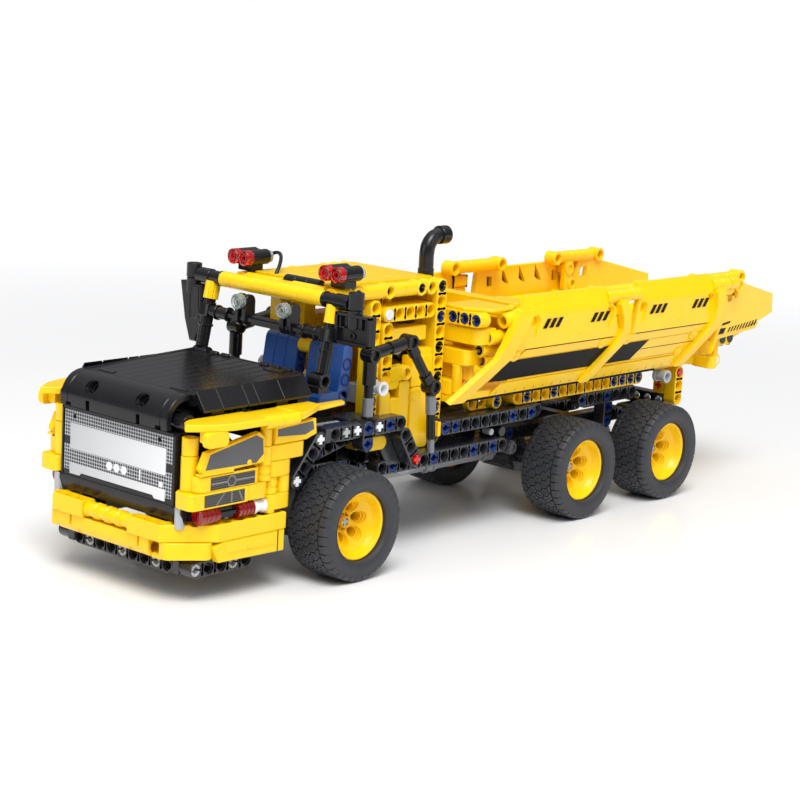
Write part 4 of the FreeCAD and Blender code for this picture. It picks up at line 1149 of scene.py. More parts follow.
# --- hood -----------------------------------------------------------------------
HM = basis((0, -230.0, 98.5), X, (0, -math.sin(math.atan2(3, 72)), math.cos(math.atan2(3, 72))))
B = Build()
v, f = slab(rect(-40, 40, 0, 72), -6, -1.0, 0.4)
B.add(v, f, HM)
for i in range(10):
    x = -37.4 + 7.48 * i
    v, f = slab(rect(x + 0.14, x + 7.34, 1.5, 70.4, 0.3, 2), -1.3, -0.3, 0.28)
    B.add(v, f, HM)
for x0, x1, y0, y1 in ((-40, -37.6, 0, 72), (37.6, 40, 0, 72), (-37.7, 37.7, 0, 1.3),
                       (-37.7, 37.7, 70.6, 72)):
    v, f = slab(rect(x0, x1, y0, y1), -1.3, 0, 0.25)
    B.add(v, f, HM)
for x in (-26.0, 26.0):
    v, f = slab(rect(x - 5.4, x + 5.4, 2.0, 5.2, 0.6, 2), -0.8, 0.3, 0.3)
    B.add(v, f, HM)
    v, f = slab(rect(x - 5.8, x + 5.8, 63.2, 68.4, 0.6, 2), -0.8, 0.3, 0.3)
    B.add(v, f, HM)
B.done("hood_planks", "frame", BLK, ["hood_top"])
B = Build()
for s in (1, -1):
    for x in (14.0, 22.0, 30.0):
        v, f = rod(1.1, 4.2, 0.2, 12)
        B.add(v, f, basis((s * x, -157.8, 100.0), X, (0, -1, 0)))
        v, f = rod(1.6, 5.0, 0.3, 14)
        B.add(v, f, basis((s * x - 2.5, -159.6, 101.0), Y, X))
B.done("hood_rear_clips", "frame", BLK)
B = Build()
cuts = [-229.0, -217.0, -200.5, -193.5, -177.0, -158.0]
for a, b in zip(cuts, cuts[1:]):
    plan_y(B, [(40.1, 100.4), (46.3, 91.8), (45.6, 90.6), (43.6, 90.9), (40.1, 94.0)][::-1],
           a + 0.14, b - 0.14, 0.3)
plan_y(B, [(40.1, 99.6), (45.7, 91.8), (45.0, 91.0), (43.4, 91.3), (40.1, 94.4)][::-1],
       -228.6, -158.4, 0.2)
B.both()
B.done("hood_sides", "frame", BLK, ["hood_side_panels"])

# cowl over the grille
def cowl_line(off, n=14):
    """Outer skin from the hood's front edge round to the grille, moved in by off."""
    # circle through (-230.2, 98.5), (-240.4, 95.6), (-244.2, 87.0)
    (ax, ay), (bx, by), (cx, cy) = (-230.2, 98.5), (-240.4, 95.6), (-244.6, 86.4)
    d = 2 * (ax * (by - cy) + bx * (cy - ay) + cx * (ay - by))
    ux = ((ax * ax + ay * ay) * (by - cy) + (bx * bx + by * by) * (cy - ay) +
          (cx * cx + cy * cy) * (ay - by)) / d
    uy = ((ax * ax + ay * ay) * (cx - bx) + (bx * bx + by * by) * (ax - cx) +
          (cx * cx + cy * cy) * (bx - ax)) / d
    r = math.hypot(ax - ux, ay - uy) - off
    t0, t1 = math.atan2(ay - uy, ax - ux), math.atan2(cy - uy, cx - ux)
    if t1 < t0:
        t1 += 2 * math.pi
    return [(ux + r * math.cos(t0 + (t1 - t0) * i / n), uy + r * math.sin(t0 + (t1 - t0) * i / n))
            for i in range(n + 1)]


B = Build()
C = Build()
outer = cowl_line(0.0)
inner = cowl_line(3.2)[::-1]
for x0, x1 in ((-37.9, -33.2), (-33.0, 33.0), (33.2, 37.9)):
    plan_x(B, (outer + [(-244.4, 82.6), (-241.2, 82.6)] + inner)[::-1], x0, x1, 0.3)
for s in (1, -1):
    v, f = turn([(0, 0), (0, 4.3), (2.2, 4.1), (2.2, 3.2), (9, 3.2), (9, 0)], 24, False)
    C.add(v, f, basis((s * 18.0, -242.9, 94.6), X, (0, 0.85, -0.53)))
    block(C, s * 18.0 - 1.3, s * 18.0 + 1.3, -247.0, -240.0, 81.0, 87.2, 0)
    block(C, s * 32.0 - 2.0, s * 32.0 + 2.0, -247.0, -240.0, 81.0, 84.4, 0)
ob = B.done("cowl", "frame", BLK, ["hood_cowl"])
carve(ob, C)
B = Build()
for s in (1, -1):
    sleeve(B, (s * 18.0, -239.2, 92.2), (s * 18.0, -234.2, 89.2), 3.1, 2.0)
B.done("cowl_pins", "frame", BLK)

# frame that carries the hood, with the tube ends beside the cowl
B = Build()
sleeve(B, (38.1, -236.0, 86.3), (44.0, -236.0, 86.3), 4.0, 2.5)
sleeve(B, (-38.1, -236.0, 86.3), (-44.0, -236.0, 86.3), 4.0, 2.5)
bar(B, (-38.2, -236.0, 86.3), (38.2, -236.0, 86.3), 3.6)
for s in (1, -1):
    v, f = turn([(0, 4.02), (0.8, 4.02), (0.8, 3.6), (0, 3.6)], 24)
    B.add(v, f, basis((s * 43.0, -236.0, 86.3), Y, X))
    beam(B, 8, (s * 23.95, -224.0, 87.0), Y, X, 7.8)
    beam(B, 8, (s * 23.95, -224.0, 52.0), Y, X, 7.8)
    for y in (-224.0, -164.0):
        beam(B, 4, (s * 23.95, y, 56.0), Z, X, 7.8)
    block(B, s * 24, s * 43.8, -221.9, -214.1, 83.2, 91.0, 0.4)
    block(B, s * 24, s * 43.8, -179.9, -172.1, 83.2, 91.0, 0.4)
block(B, -35.9, 35.9, -233.7, -226.1, 48.1, 89.9, 0.4)
block(B, -27.8, 27.8, -167.9, -160.1, 66.1, 93.9, 0.4)
B.done("hood_frame", "frame", BLK, ["hood_supports"])

# --- cheeks beside the grille ---------------------------------------------------


def cheek_side(mirror):
    out = []
    B = Build()
    # low arm with a round front
    pts = [(41.2, -239.5)] + arc_pts(45.4, -239.4, 3.6, 180, 270, 4) + \
        [(51.0, -243.0)] + arc_pts(51.6, -239.6, 3.4, 270, 360, 4) + [(55.0, -207.4), (41.2, -207.4)]
    plan_z(B, pts, 47.6, 55.3, 0.4)
    beam(B, 5, (50.7, -234.6, 59.3), Y, Z, 7.7)
    block(B, 41.2, 46.8, -232.0, -200.0, 55.5, 63.1, 0.4)
    # post in front
    sleeve(B, (45.4, -236.2, 55.4), (45.4, -236.2, 71.8), 4.1, 2.4)
    sleeve(B, (45.4, -236.2, 72.0), (45.4, -236.2, 80.5), 3.9, 2.5)
    block(B, 45.0, 51.0, -199.8, -178.0, 55.6, 71.9, 0.35)
    block(B, 36.1, 45.9, -199.8, -184.2, 48.0, 66.0, 0.35)
    block(B, 28.0, 36.9, -199.8, -184.2, 52.2, 61.8, 0.35)
    # block stack
    for y0, y1, z0, z1 in ((-192.6, -169.2, 64.6, 72.3), (-192.6, -177.9, 56.7, 64.4),
                           (-192.6, -177.9, 40.7, 48.4)):
        block(B, 47.0, 54.5, y0, y1, z0, z1, 0.4, 0, 3.4, "z")
    bar(B, (50.9, -181.4, 48.5), (50.9, -181.4, 56.6), 3.6)
    block(B, 46.0, 54.5, -207.6, -193.0, 47.7, 55.3, 0.4, 0, 3.4, "z")
    ribbed(B, (50.8, -189.2, 48.6), (50.8, -189.2, 56.5), 3.7, 2)
    ribbed(B, (51.2, -194.2, 55.5), (51.2, -194.2, 63.1), 3.7, 2)
    ribbed(B, (50.9, -190.0, 39.1), (50.9, -190.0, 47.4), 3.3, 2)
    sleeve(B, (51.5, -194.2, 63.2), (51.5, -194.2, 72.2), 3.4, 2.2)
    if mirror:
        B2 = Build()
        B2.join(B, Matrix.Diagonal((-1, 1, 1, 1)))
        B = B2
    return B


for s, nm in ((1, "left"), (-1, "right")):
    B = cheek_side(s < 0)
    B.done("cheek_" + nm, "frame", YEL, ["cheek_stacks"] if s > 0 else [])

B = Build()
front = [(-238.2, 67.0), (-234.5, 74.4), (-201.2, 80.3), (-197.4, 77.4), (-197.4, 65.6),
         (-200.2, 65.2), (-216.5, 64.6), (-217.2, 63.5), (-235.6, 63.5)]
plan_x(B, front, 51.4, 55.1, 0.5)
rear = [(-190.6, 72.7), (-190.6, 81.1), (-163.6, 82.4), (-162.7, 74.9), (-169.6, 72.7)]
plan_x(B, rear, 51.4, 55.1, 0.5)
sleeve(B, (52.0, -194.2, 72.4), (52.0, -194.2, 80.6), 2.9, 1.8)
v, f = rod(1.5, 0.6, 0.2, 14)
B.add(v, f, basis((54.8, -207.5, 66.6), Y, X))
block(B, 51.5, 55.35, -238.0, -217.4, 63.5, 64.6, 0.2)
B.both()
B.done("cheek_wedge_shells", "frame", YEL, ["cheek_wedges"])
B = Build()
for s in (1, -1):
    x = s * 55.1
    sticker(B, [(x, a, b) for a, b in ((-235.2, 66.4), (-232.4, 73.4), (-203.4, 79.0),
                                      (-199.2, 76.8), (-198.4, 69.6), (-203.0, 65.9))],
            (s, 0, 0), 0.14)
    sticker(B, [(x, a, b) for a, b in ((-189.4, 76.6), (-189.4, 80.0), (-166.0, 81.4),
                                      (-165.0, 77.4), (-171.0, 75.4))], (s, 0, 0), 0.14)
B.done("cheek_carbon", "frame", CARB)
B = Build()
for s in (1, -1):
    x = s * 54.62
    sticker(B, [(x, a, b) for a, b in ((-231.2, 56.2), (-231.2, 62.2), (-203.0, 62.2),
                                      (-203.0, 56.2))], (s, 0, 0), 0.12)
    x = s * 55.02
    sticker(B, [(x, a, b) for a, b in ((-235.0, 48.6), (-235.0, 54.4), (-209.6, 54.4),
                                      (-209.6, 48.6))], (s, 0, 0), 0.12)
B.done("cheek_mesh", "frame", CMESH)
B = Build()
for s in (1, -1):
    x = s * 54.75
    for i in range(6):
        t0, t1 = math.radians(60 * i), math.radians(60 * (i + 1))
        a = Vector((0, math.cos(t0), math.sin(t0)))
        b = Vector((0, math.cos(t1), math.sin(t1)))
        c = Vector((x, -218.0, 59.2))
        sticker(B, [tuple(c + a * 3.0), tuple(c + b * 3.0), tuple(c + b * 2.3), tuple(c + a * 2.3)],
                (s, 0, 0), 0.14)
    for y0, y1 in ((-231.0, -221.0), (-215.0, -203.2)):
        sticker(B, [(x, y0, 58.8), (x, y1, 58.8), (x, y1, 59.6), (x, y0, 59.6)], (s, 0, 0), 0.14)
    x = s * 55.15
    for y0, y1 in ((-222.5, -227.5), (-218.0, -218.0), (-213.5, -210.8)):
        sticker(B, [(x, y0 - 0.4, 54.2), (x, y0 + 0.4, 54.2), (x, y1 + 0.4, 48.9),
                    (x, y1 - 0.4, 48.9)], (s, 0, 0), 0.14)
B.done("cheek_lines", "frame", GLINE)

# --- side lamps -----------------------------------------------------------------
R = Build()
K = Build()
W = Build()
for s in (1, -1):
    x, z = s * 50.7, 43.3
    x = s * 50.7
    ribbed(R, (x, -235.0, z), (x, -223.4, z), 4.05, 4)
    ribbed(R, (x, -211.6, z), (x, -201.4, z), 4.05, 4)
    axle(K, (x, -224.2, z), (x, -210.8, z))
    axle(K, (x, -202.0, z), (x, -192.9, z))
    bush(W, (x, -201.0, z), (0, 1, 0), L=7.8)

# --- roof lamps -----------------------------------------------------------------


def lamp_head(B, p, d, r=4.0, L=4.4, mat=0):
    """Round lamp with a stepped face; p is the back, d the way it faces."""
    d = Vector(d).normalized()
    ref = Z if abs(d.z) < 0.9 else X
    v, f = turn([(0, 0), (0, r - 0.3), (0.3, r), (L - 0.5, r), (L - 0.1, r - 0.4),
                 (L, r - 0.9), (L - 0.15, r - 1.25), (L - 1.3, r - 1.35), (L - 1.3, 2.0),
                 (L - 0.35, 1.95), (L - 0.3, 1.4), (L - 2.6, 1.3), (L - 2.6, 0)], 28, False)
    B.add(v, f, basis(p, ref.cross(d).normalized(), d), mat)


Cl = Build()
for s in (1, -1):
    for a in (28.4, 36.6):
        x = s * a
        lamp_head(R, (x, -131.6, 147.2), (0, -1, 0))
        sleeve(K, (x, -131.5, 147.2), (x, -119.6, 147.2), 3.95, 2.2)
        bar(K, (x, -131.0, 147.2), (x, -122.0, 147.2), 2.25)
        bar(Cl, (x, -121.9, 147.2), (x, -116.0, 147.2), 2.15)
        sleeve(Cl, (x, -119.4, 147.2), (x, -117.2, 147.2), 3.2, 2.0)
    block(K, s * 28.2, s * 37.8, -130.2, -122.0, 139.9, 144.6, 0.4)
    block(K, s * 30.5, s * 34.5, -129.0, -123.0, 144.0, 147.0, 0.2)
hose(K, [(-30.5, -117.0, 147.4), (-26.0, -114.5, 149.2), (-20.5, -117.0, 148.4),
         (-16.5, -121.5, 144.6), (-14.6, -126.5, 139.0)], 0.95)
R.done("lamp_heads", "frame", RED, ["lamps"])
K.done("lamp_bodies", "frame", BLK)
W.done("lamp_bushes", "frame", WHT)
Cl.done("lamp_stubs", "frame", CLR)

# --- roof -----------------------------------------------------------------------
B = Build()
for i in range(9):
    a = -36.0 + 8.0 * i
    sleeve(B, (a + 0.05, -142.0, 136.0), (a + 7.95, -142.0, 136.0), 4.0, 2.3, ch=0.22)
B.done("roof_front_tube", "frame", YEL, ["roof_front_bar"])

B = Build()
block(B, -27.9, 27.9, -136.6, -54.2, 134.0, 136.0, 0.3)
block(B, -27.9, 27.9, -58.6, -54.1, 132.1, 134.4, 0.2)
ends = [(-127.5, -103.6), (-103.6, -79.8), (-79.8, -54.1)]
for i in range(7):
    x0, x1 = -28.0 + 8.0 * i + 0.05, -20.0 + 8.0 * i - 0.05
    for k, (y0, y1) in enumerate(ends):
        off = 2.0 if i % 2 else 0.0
        y0 = y0 + (off if k else 0) + 0.06
        y1 = y1 + (off if k < 2 else 0) - 0.06
        if i % 2:
            pts = [(x0, y0 + 3.4), (x0 + 1.7, y0), (x1 - 1.7, y0), (x1, y0 + 3.4), (x1, y1), (x0, y1)]
        else:
            pts = [(x0, y0), (x1, y0), (x1, y1), (x0, y1)]
        plan_z(B, pts, 136.7, 140.4, 0.18)
# between the front bar and the planks
for x0, x1 in ((-27.8, -3.0), (5.0, 27.6)):
    bar(B, (x0, -132.6, 137.0), (x1, -132.6, 137.0), 3.1)
block(B, -27.8, -9.0, -138.6, -133.0, 136.8, 138.6, 0.3)
block(B, -2.9, 4.9, -138.4, -127.3, 136.2, 139.4, 0.4)
block(B, 12.0, 27.6, -138.6, -133.0, 136.8, 138.6, 0.3)
B.done("roof_planks", "frame", YEL, ["roof_panels"])
B = Build()
# thin black sheet under the planks: painted shade seen through the gaps between them; the sleeves and bar are
# real black parts
block(B, -27.6, 27.6, -136.4, -54.6, 135.8, 136.8, 0)
for x0, x1 in ((-11.5, -3.6), (-3.4, 4.5), (4.7, 12.6)):
    sleeve(B, (x0 + 8, -128.9, 138.9), (x1 + 8, -128.9, 138.9), 3.3, 1.9)
bar(B, (-4.0, -128.9, 138.9), (21.0, -128.9, 138.9), 1.8)
B.done("roof_black_parts_and_gap_shade", "frame", BLK)

# roof sides: smooth lengths between ringed joints
B = Build()
P = Build()
W = Build()
for s in (1, -1):
    for y0, y1 in ((-134.0, -121.3), (-114.7, -97.3), (-90.7, -82.1), (-81.9, -73.3)):
        block(B, s * 28.3, s * 35.7, y0, y1, 132.3, 139.7, 0.3, 0, 2.6, "y")
    for y in (-118.0, -94.0, -70.0, -62.0):
        sleeve(B, (s * 28.1, y, 136.0), (s * 35.95, y, 136.0), 3.95, 2.45)
        bar(P, (s * 30.0, y, 136.0), (s * 33.0, y, 136.0), 2.5)
    for y in (-118.0, -70.0):
        peg(P, (s * 35.9, y, 136.0), (s, 0, 0))
    beam(B, 11, (s * 32.0, -54.0, 136.0), -Z, X)
    for i, k in enumerate("kobokokobok"):
        z = 136.0 - 8.0 * i
        if k == "k":
            peg(P, (s * 35.9, -54.0, z), (s, 0, 0))
        elif k == "b":
            peg(W, (s * 35.9, -54.0, z), (s, 0, 0))
B.done("roof_sides", "frame", YEL, ["roof_side_beams", "tall_beams"])
P.done("roof_side_pins", "frame", BLK)
W.done("tall_beam_pins", "frame", SHADED_BLUE)

# --- cab sides ------------------------------------------------------------------
B = Build()
P = Build()
W = Build()
U = Build()
for s in (1, -1):
    beam(B, 8, (s * 32.0, -104.0, 72.2), Z, X)
    # column and arm behind the post
    beam(B, 5, (s * 32.0, -94.0, 124.0), Y, X)
    beam(B, 4, (s * 32.0, -94.0, 92.1), Z, X, 7.8)
    block(B, s * 20.2, s * 28.0, -98.0, -90.0, 92.0, 127.9, 0.4)
    block(B, s * 20.2, s * 28.0, -89.8, -58.2, 120.2, 127.9, 0.4)
    block(B, s * 20.2, s * 33.0, -89.8, -62.0, 108.2, 115.9, 0.4)
    beam(B, 4, (s * 24.0, -112.0, 129.0), Y, X, 7.6)
    # blocks low down
    for y0, y1, z0, z1, x1 in ((-98.0, -90.1, 51.1, 84.2, 35.9), (-89.9, -82.1, 51.1, 80.2, 35.9),
                               (-81.9, -74.1, 51.1, 88.2, 34.6), (-73.9, -66.1, 51.1, 84.2, 35.9),
                               (-65.9, -58.1, 51.1, 104.2, 34.6)):
        block(B, s * 28.1, s * x1, y0, y1, z0, z1, 0.35, 0, 2.0, "x")
    block(B, s * 28.1, s * 35.6, -113.6, -98.2, 56.1, 68.0, 0.35)
    block(B, s * 28.1, s * 34.6, -98.0, -82.2, 84.6, 92.2, 0.35, 0, 3.2, "x")
    sleeve(B, (s * 28.2, -78.0, 92.4), (s * 35.9, -78.0, 92.4), 3.95, 2.45)
    block(B, s * 28.2, s * 35.0, -90.0, -78.0, 88.6, 96.2, 0.35, 0, 3.0, "x")
    sleeve(B, (s * 34.0, -70.0, 80.2), (s * 36.05, -70.0, 80.2), 3.6, 2.45)
    block(B, s * 28.2, s * 35.4, -73.9, -58.2, 84.4, 100.4, 0.35)
    bar(P, (s * 33.0, -70.0, 80.2), (s * 35.6, -70.0, 80.2), 2.5)
    peg(W, (s * 35.9, -104.0, 72.2), (s, 0, 0))
    peg(W, (s * 35.9, -104.0, 80.2), (s, 0, 0))
    v, f = rod(2.9, 0.9, 0.35)
    U.add(v, f, basis((s * 35.4, -94.0, 124.0), Y, (s, 0, 0)))
    bush(U, (s * 36.0, -104.0, 88.2), (s, 0, 0), L=7.8)
B.done("cab_sides", "frame", YEL, ["cab_side_frames"])
P.done("cab_side_black", "frame", BLK)
W.done("cab_side_pins", "frame", SHADED_BLUE)
U.done("cab_side_knobs", "frame", WHT)

B = Build()
for i in range(7):
    x0 = -28.0 + 8.0 * i
    block(B, x0 + 0.05, x0 + 7.95, -58.0, -54.1, 62.0, 132.0, 0.3)
block(B, -12.0, 3.9, -61.5, -57.6, 96.0, 131.6, 0.4)
sleeve(B, (8.0, -61.0, 110.0), (8.0, -57.6, 110.0), 3.9, 2.4)
B.done("cab_rear_planks", "frame", YEL, ["cab_rear_wall"])
# machinery behind the seats
B = Build()
block(B, 6.0, 24.0, -72.0, -60.0, 96.0, 118.0, 0.8, 0, 2.5, "x")
bar(B, (2.0, -66.0, 112.0), (26.0, -66.0, 112.0), 4.6)
B.done("cab_drive_dark", "frame", DGR)
B = Build()
block(B, 10.0, 20.0, -78.0, -72.2, 96.0, 110.0, 0.6, 0, 1.6, "x")
sleeve(B, (20.0, -75.0, 104.0), (26.0, -75.0, 104.0), 4.0, 2.3)
block(B, 20.1, 27.6, -106.0, -98.0, 78.0, 88.0, 0.4)
B.done("cab_drive_grey", "frame", LGR)

# --- seats ----------------------------------------------------------------------
B = Build()
D = Build()
L = Build()
for s in (1, -1):
    for i in range(3):
        x0 = s * (4.05 + 8.0 * i)
        x1 = s * (11.95 + 8.0 * i)
        v, f = slab([(-134.0, 79.0), (-133.0, 78.0), (-114.0, 78.0), (-114.0, 86.0), (-132.0, 86.0),
                     (-134.0, 84.0)], min(x0, x1), max(x0, x1), 0.35)
        B.add(v, f, basis((0, 0, 0), Y, X))
        back = [(-121.0, 86.1), (-114.2, 80.4), (-111.2, 104.0)] + \
            arc_pts(-114.7, 105.4, 3.5, -10, 170, 8)
        v, f = slab(back, min(x0, x1), max(x0, x1), 0.35)
        B.add(v, f, basis((0, 0, 0), Y, X))
    xe = s * 28.0
    for k in range(3):
        z = 83.5 + 8.0 * k
        y = -117.0 + (z - 83.5) * 0.115
        ring(D, (xe - s * 0.05, y, z), (s, 0, 0), 3.2, 2.2, 0.3)
        xi = s * 4.0
        ring(D, (xi + s * 0.05, y, z), (-s, 0, 0), 3.2, 2.2, 0.3)
    block(L, s * 10.2, s * 21.8, -129.8, -118.2, 66.0, 78.3, 0.4)
B.done("seat_slabs", "frame", BLU, ["seats"])
D.done("seat_rings", "frame", SHADED_BLUE)
L.done("seat_feet", "frame", DGR)
B = Build()
bar(B, (-4.1, -115.0, 104.8), (4.1, -115.0, 104.8), 3.9)
B.done("seat_link", "frame", YEL)

# floor of the cab and the wall in front of it
B = Build()
block(B, -27.8, 27.8, -152.0, -58.3, 62.1, 65.9, 0.4)
for i in range(9):
    x0 = -36.0 + 8.0 * i
    block(B, x0 + 0.05, x0 + 7.95, -157.8, -152.1, 75.1, 95.8, 0.35)
block(B, -27.8, 27.8, -157.8, -152.1, 62.1, 75.4, 0.3)
block(B, -24.0, 24.0, -115.8, -106.3, 48.0, 62.3, 0.3)
block(B, -19.6, 19.6, -71.8, -64.1, 48.0, 62.3, 0.3)
for s in (1, -1):
    beam(B, 6, (s * 24.0, -148.0, 69.8), Y, X, 7.6)
B.done("cab_floor_parts", "frame", BLK, ["cab_floor"])

# --- windscreen frame -----------------------------------------------------------
B = Build()
T = Build()
G = Build()
for s in (1, -1):
    a = Vector((s * 43.0, -149.5, 98.0))
    d = Vector((0, 7.2, 35.5)).normalized()
    at = lambda t: a + d * t
    sleeve(B, (s * 37.4, -149.5, 97.2), (s * 46.4, -149.5, 97.2), 4.0, 2.4)
    bar(B, (s * 38.0, -149.5, 97.2), (s * 41.0, -149.5, 97.2), 2.5)
    block(B, s * 37.0, s * 45.6, -153.4, -146.4, 91.2, 95.0, 0.4)
    fluted(B, at(3.0), at(13.6), 3.3)
    bar(B, at(13.4), at(14.8), 3.95)
    fluted(B, at(14.8), at(18.6), 3.3)
    bar(B, at(18.6), at(23.6), 3.6)
    v, f = slab(rect(-3.5, 3.5, -3.9, 3.9, 1.0, 2), 18.4, 24.8, 0.3)
    B.add(v, f, basis(a, X, d))
    sleeve(B, (s * 36.0, -145.4, 119.0), (s * 43.0, -145.4, 119.0), 3.3, 2.0)
    sleeve(B, (s * 34.6, -145.4, 119.0), (s * 36.2, -145.4, 119.0), 3.9, 2.0)
    sleeve(B, (s * 28.0, -145.4, 119.0), (s * 34.8, -145.4, 119.0), 3.2, 2.0)
    sleeve(B, (s * 26.6, -145.4, 119.0), (s * 28.0, -145.4, 119.0), 3.8, 2.0)
    bar(B, at(24.6), at(25.8), 3.6)
    fluted(B, at(25.8), at(29.0), 3.0)
    fluted(T, at(27.6), at(36.6), 3.95, 10, low=0.3)
    # joint at the end of the front bar
    xe = 53.4 if s > 0 else 54.0
    sleeve(B, (s * 36.1, -142.0, 136.0), (s * 37.5, -142.0, 136.0), 4.0, 2.2)
    bar(B, (s * 37.3, -142.0, 136.0), (s * 44.0, -142.0, 136.0), 3.5)
    bar(B, (s * 44.0, -142.0, 136.0), (s * xe, -142.0, 136.0), 4.0)
axle(B, (-43.0, -145.4, 119.0), (43.0, -145.4, 119.0))
for a in (-16.0, 16.0):
    for x0, x1 in ((a - 3.9, a - 1.3), (a + 1.3, a + 3.9)):
        v, f = slab(capsule(8.8, 3.7), x0, x1, 0.35)
        B.add(v, f, basis((0, -145.4, 119.0), Z, X))
    block(B, a - 3.8, a + 3.8, -147.0, -142.2, 117.0, 130.8, 0.6, 0, 1.4, "x")
    lamp_head(G, (a, -148.2, 127.8), (0, -1, 0), 4.0, 3.8)
    bar(B, (a, -149.0, 127.8), (a, -146.0, 127.8), 2.3)
B.done("windscreen_parts", "frame", BLK, ["windscreen_frame"])
T.done("windscreen_top_joints", "frame", YEL)
G.done("windscreen_lamps", "frame", CLR)

# --- mirrors --------------------------------------------------------------------
B = Build()
block(B, 47.0, 70.0, -143.6, -141.2, 116.4, 131.8, 0.3)
block(B, 47.0, 70.0, -145.9, -143.5, 130.2, 131.8, 0.25)
block(B, 47.0, 70.0, -145.9, -143.5, 116.4, 117.9, 0.25)
block(B, 47.0, 48.6, -145.9, -143.5, 116.5, 131.7, 0.25)
block(B, 68.4, 70.0, -145.9, -143.5, 116.5, 131.7, 0.25)
block(B, 47.4, 53.0, -145.2, -143.5, 124.2, 125.0, 0.15)
block(B, 61.0, 69.6, -145.2, -143.5, 124.2, 125.0, 0.15)
for x in (50.0, 64.0, 67.0):
    block(B, x - 0.35, x + 0.35, -145.2, -143.5, 125.0, 130.4, 0.12)
ring(B, (57.5, -143.6, 120.9), (0, -1, 0), 1.9, 1.1, 0.9)
sleeve(B, (57.0, -142.0, 133.6), (57.0, -142.0, 142.0), 4.0, 2.3)
bar(B, (57.0, -142.0, 126.0), (57.0, -142.0, 140.0), 3.4)
bar(B, (57.0, -142.2, 124.0), (57.0, -142.2, 133.4), 3.75)
# far one
pts = [(-66.0, 131.6), (-50.0, 131.6), (-48.0, 112.0), (-53.0, 101.0), (-58.0, 101.0),
       (-62.0, 112.0)]
plan_y(B, pts, -144.6, -140.2, 0.9)
plan_y(B, [(-63.8, 130.0), (-57.6, 130.0), (-57.2, 113.0), (-60.4, 113.0)], -145.0, -144.4, 0.3)
plan_y(B, [(-56.6, 130.0), (-51.6, 130.0), (-50.4, 113.4), (-55.8, 113.0)], -145.0, -144.4, 0.3)
sleeve(B, (-58.0, -142.0, 126.0), (-58.0, -142.0, 134.0), 3.8, 2.2)
sleeve(B, (-58.0, -142.0, 134.2), (-58.0, -142.0, 141.5), 4.0, 2.3)
bar(B, (-58.0, -142.0, 127.0), (-58.0, -142.0, 140.6), 2.4)
B.done("mirror_parts", "frame", BLK, ["mirrors"])

# --- handrails ------------------------------------------------------------------
B = Build()
G = Build()
for s in (1, -1):
    x = s * 48.0
    P0 = [Vector((x, -120.0, 76.0)), Vector((x, -120.0, 108.0)), Vector((x, -92.0, 112.0)),
          Vector((x, -73.0, 87.0)), Vector((x, -70.0, 52.5))]
    for p in P0[1:4]:
        sleeve(B, p - X * 3.9, p + X * 3.9, 3.9, 2.4)
        bar(B, p - X * 2.4, p + X * 2.4, 2.5)
    a, b = P0[0], P0[1]
    bar(B, a, a + Z * 1.0, 3.0)
    bar(G, a + Z * 0.8, a + Z * 10.4, 2.8)
    fluted(B, a + Z * 10.2, b - Z * 15.0, 2.45, 8)
    bar(B, b - Z * 15.2, b - Z * 3.0, 3.5)
    a, b = P0[1], P0[2]
    d = (b - a).normalized()
    bar(B, a + d * 3.4, a + d * 11.0, 3.2)
    fluted(B, a + d * 10.6, a + d * 14.4, 2.6, 8)
    bar(B, a + d * 14.0, b - d * 3.4, 3.3)
    a, b = P0[2], P0[3]
    d = (b - a).normalized()
    bar(B, a + d * 3.4, a + d * 9.0, 3.2)
    fluted(B, a + d * 8.8, b - d * 8.0, 2.6, 8)
    bar(B, b - d * 8.4, b - d * 3.4, 3.4)
    a, b = P0[3], P0[4]
    d = (b - a).normalized()
    bar(B, a + d * 3.2, a + d * 4.6, 3.0)
    bar(G, a + d * 4.4, a + d * 14.6, 2.8)
    fluted(B, a + d * 14.4, b - d * 6.8, 2.35, 8)
    bar(G, b - d * 7.2, b + d * 0.6, 1.9)
B.done("handrail_parts", "frame", BLK, ["handrails"])
G.done("handrail_sleeves", "frame", SLV)

# --- wings beside the hood ------------------------------------------------------
B = Build()
plan_z(B, [(44.2, -237.0), (46.5, -241.5), (52.0, -245.8), (59.6, -235.2), (62.6, -224.0),
           (62.9, -203.2), (44.2, -203.2)], 85.0, 88.5, 0.5)
plan_z(B, [(44.2, -203.0), (55.0, -203.0), (55.0, -181.2), (44.2, -181.2)], 84.9, 88.0, 0.35)
bar(B, (59.2, -203.2, 85.6), (59.2, -192.4, 85.6), 3.3)
bar(B, (59.2, -192.2, 85.6), (59.2, -181.3, 85.6), 3.3)
plan_z(B, [(44.2, -181.1), (62.4, -181.1), (62.0, -178.0), (52.0, -158.8), (44.2, -158.8)],
       85.0, 88.4, 0.5)
block(B, 57.2, 60.9, -240.0, -226.2, 77.8, 85.2, 0.4, 0, 2.4, "x")
block(B, 52.0, 57.4, -236.5, -229.5, 79.0, 85.2, 0.4)
plan_z(B, [(44.1, -158.6), (51.4, -158.6), (48.0, -137.0), (44.1, -135.0)], 84.6, 86.6, 0.35)
B.both()
B.done("wing_plates", "frame", YEL, ["wing_panels"])
B = Build()
for s in (1, -1):
    for y in (-236.4, -229.4):
        peg(B, (s * 60.9, y, 81.6), (s, 0, 0))
B.done("wing_pins", "frame", SHADED_BLUE)

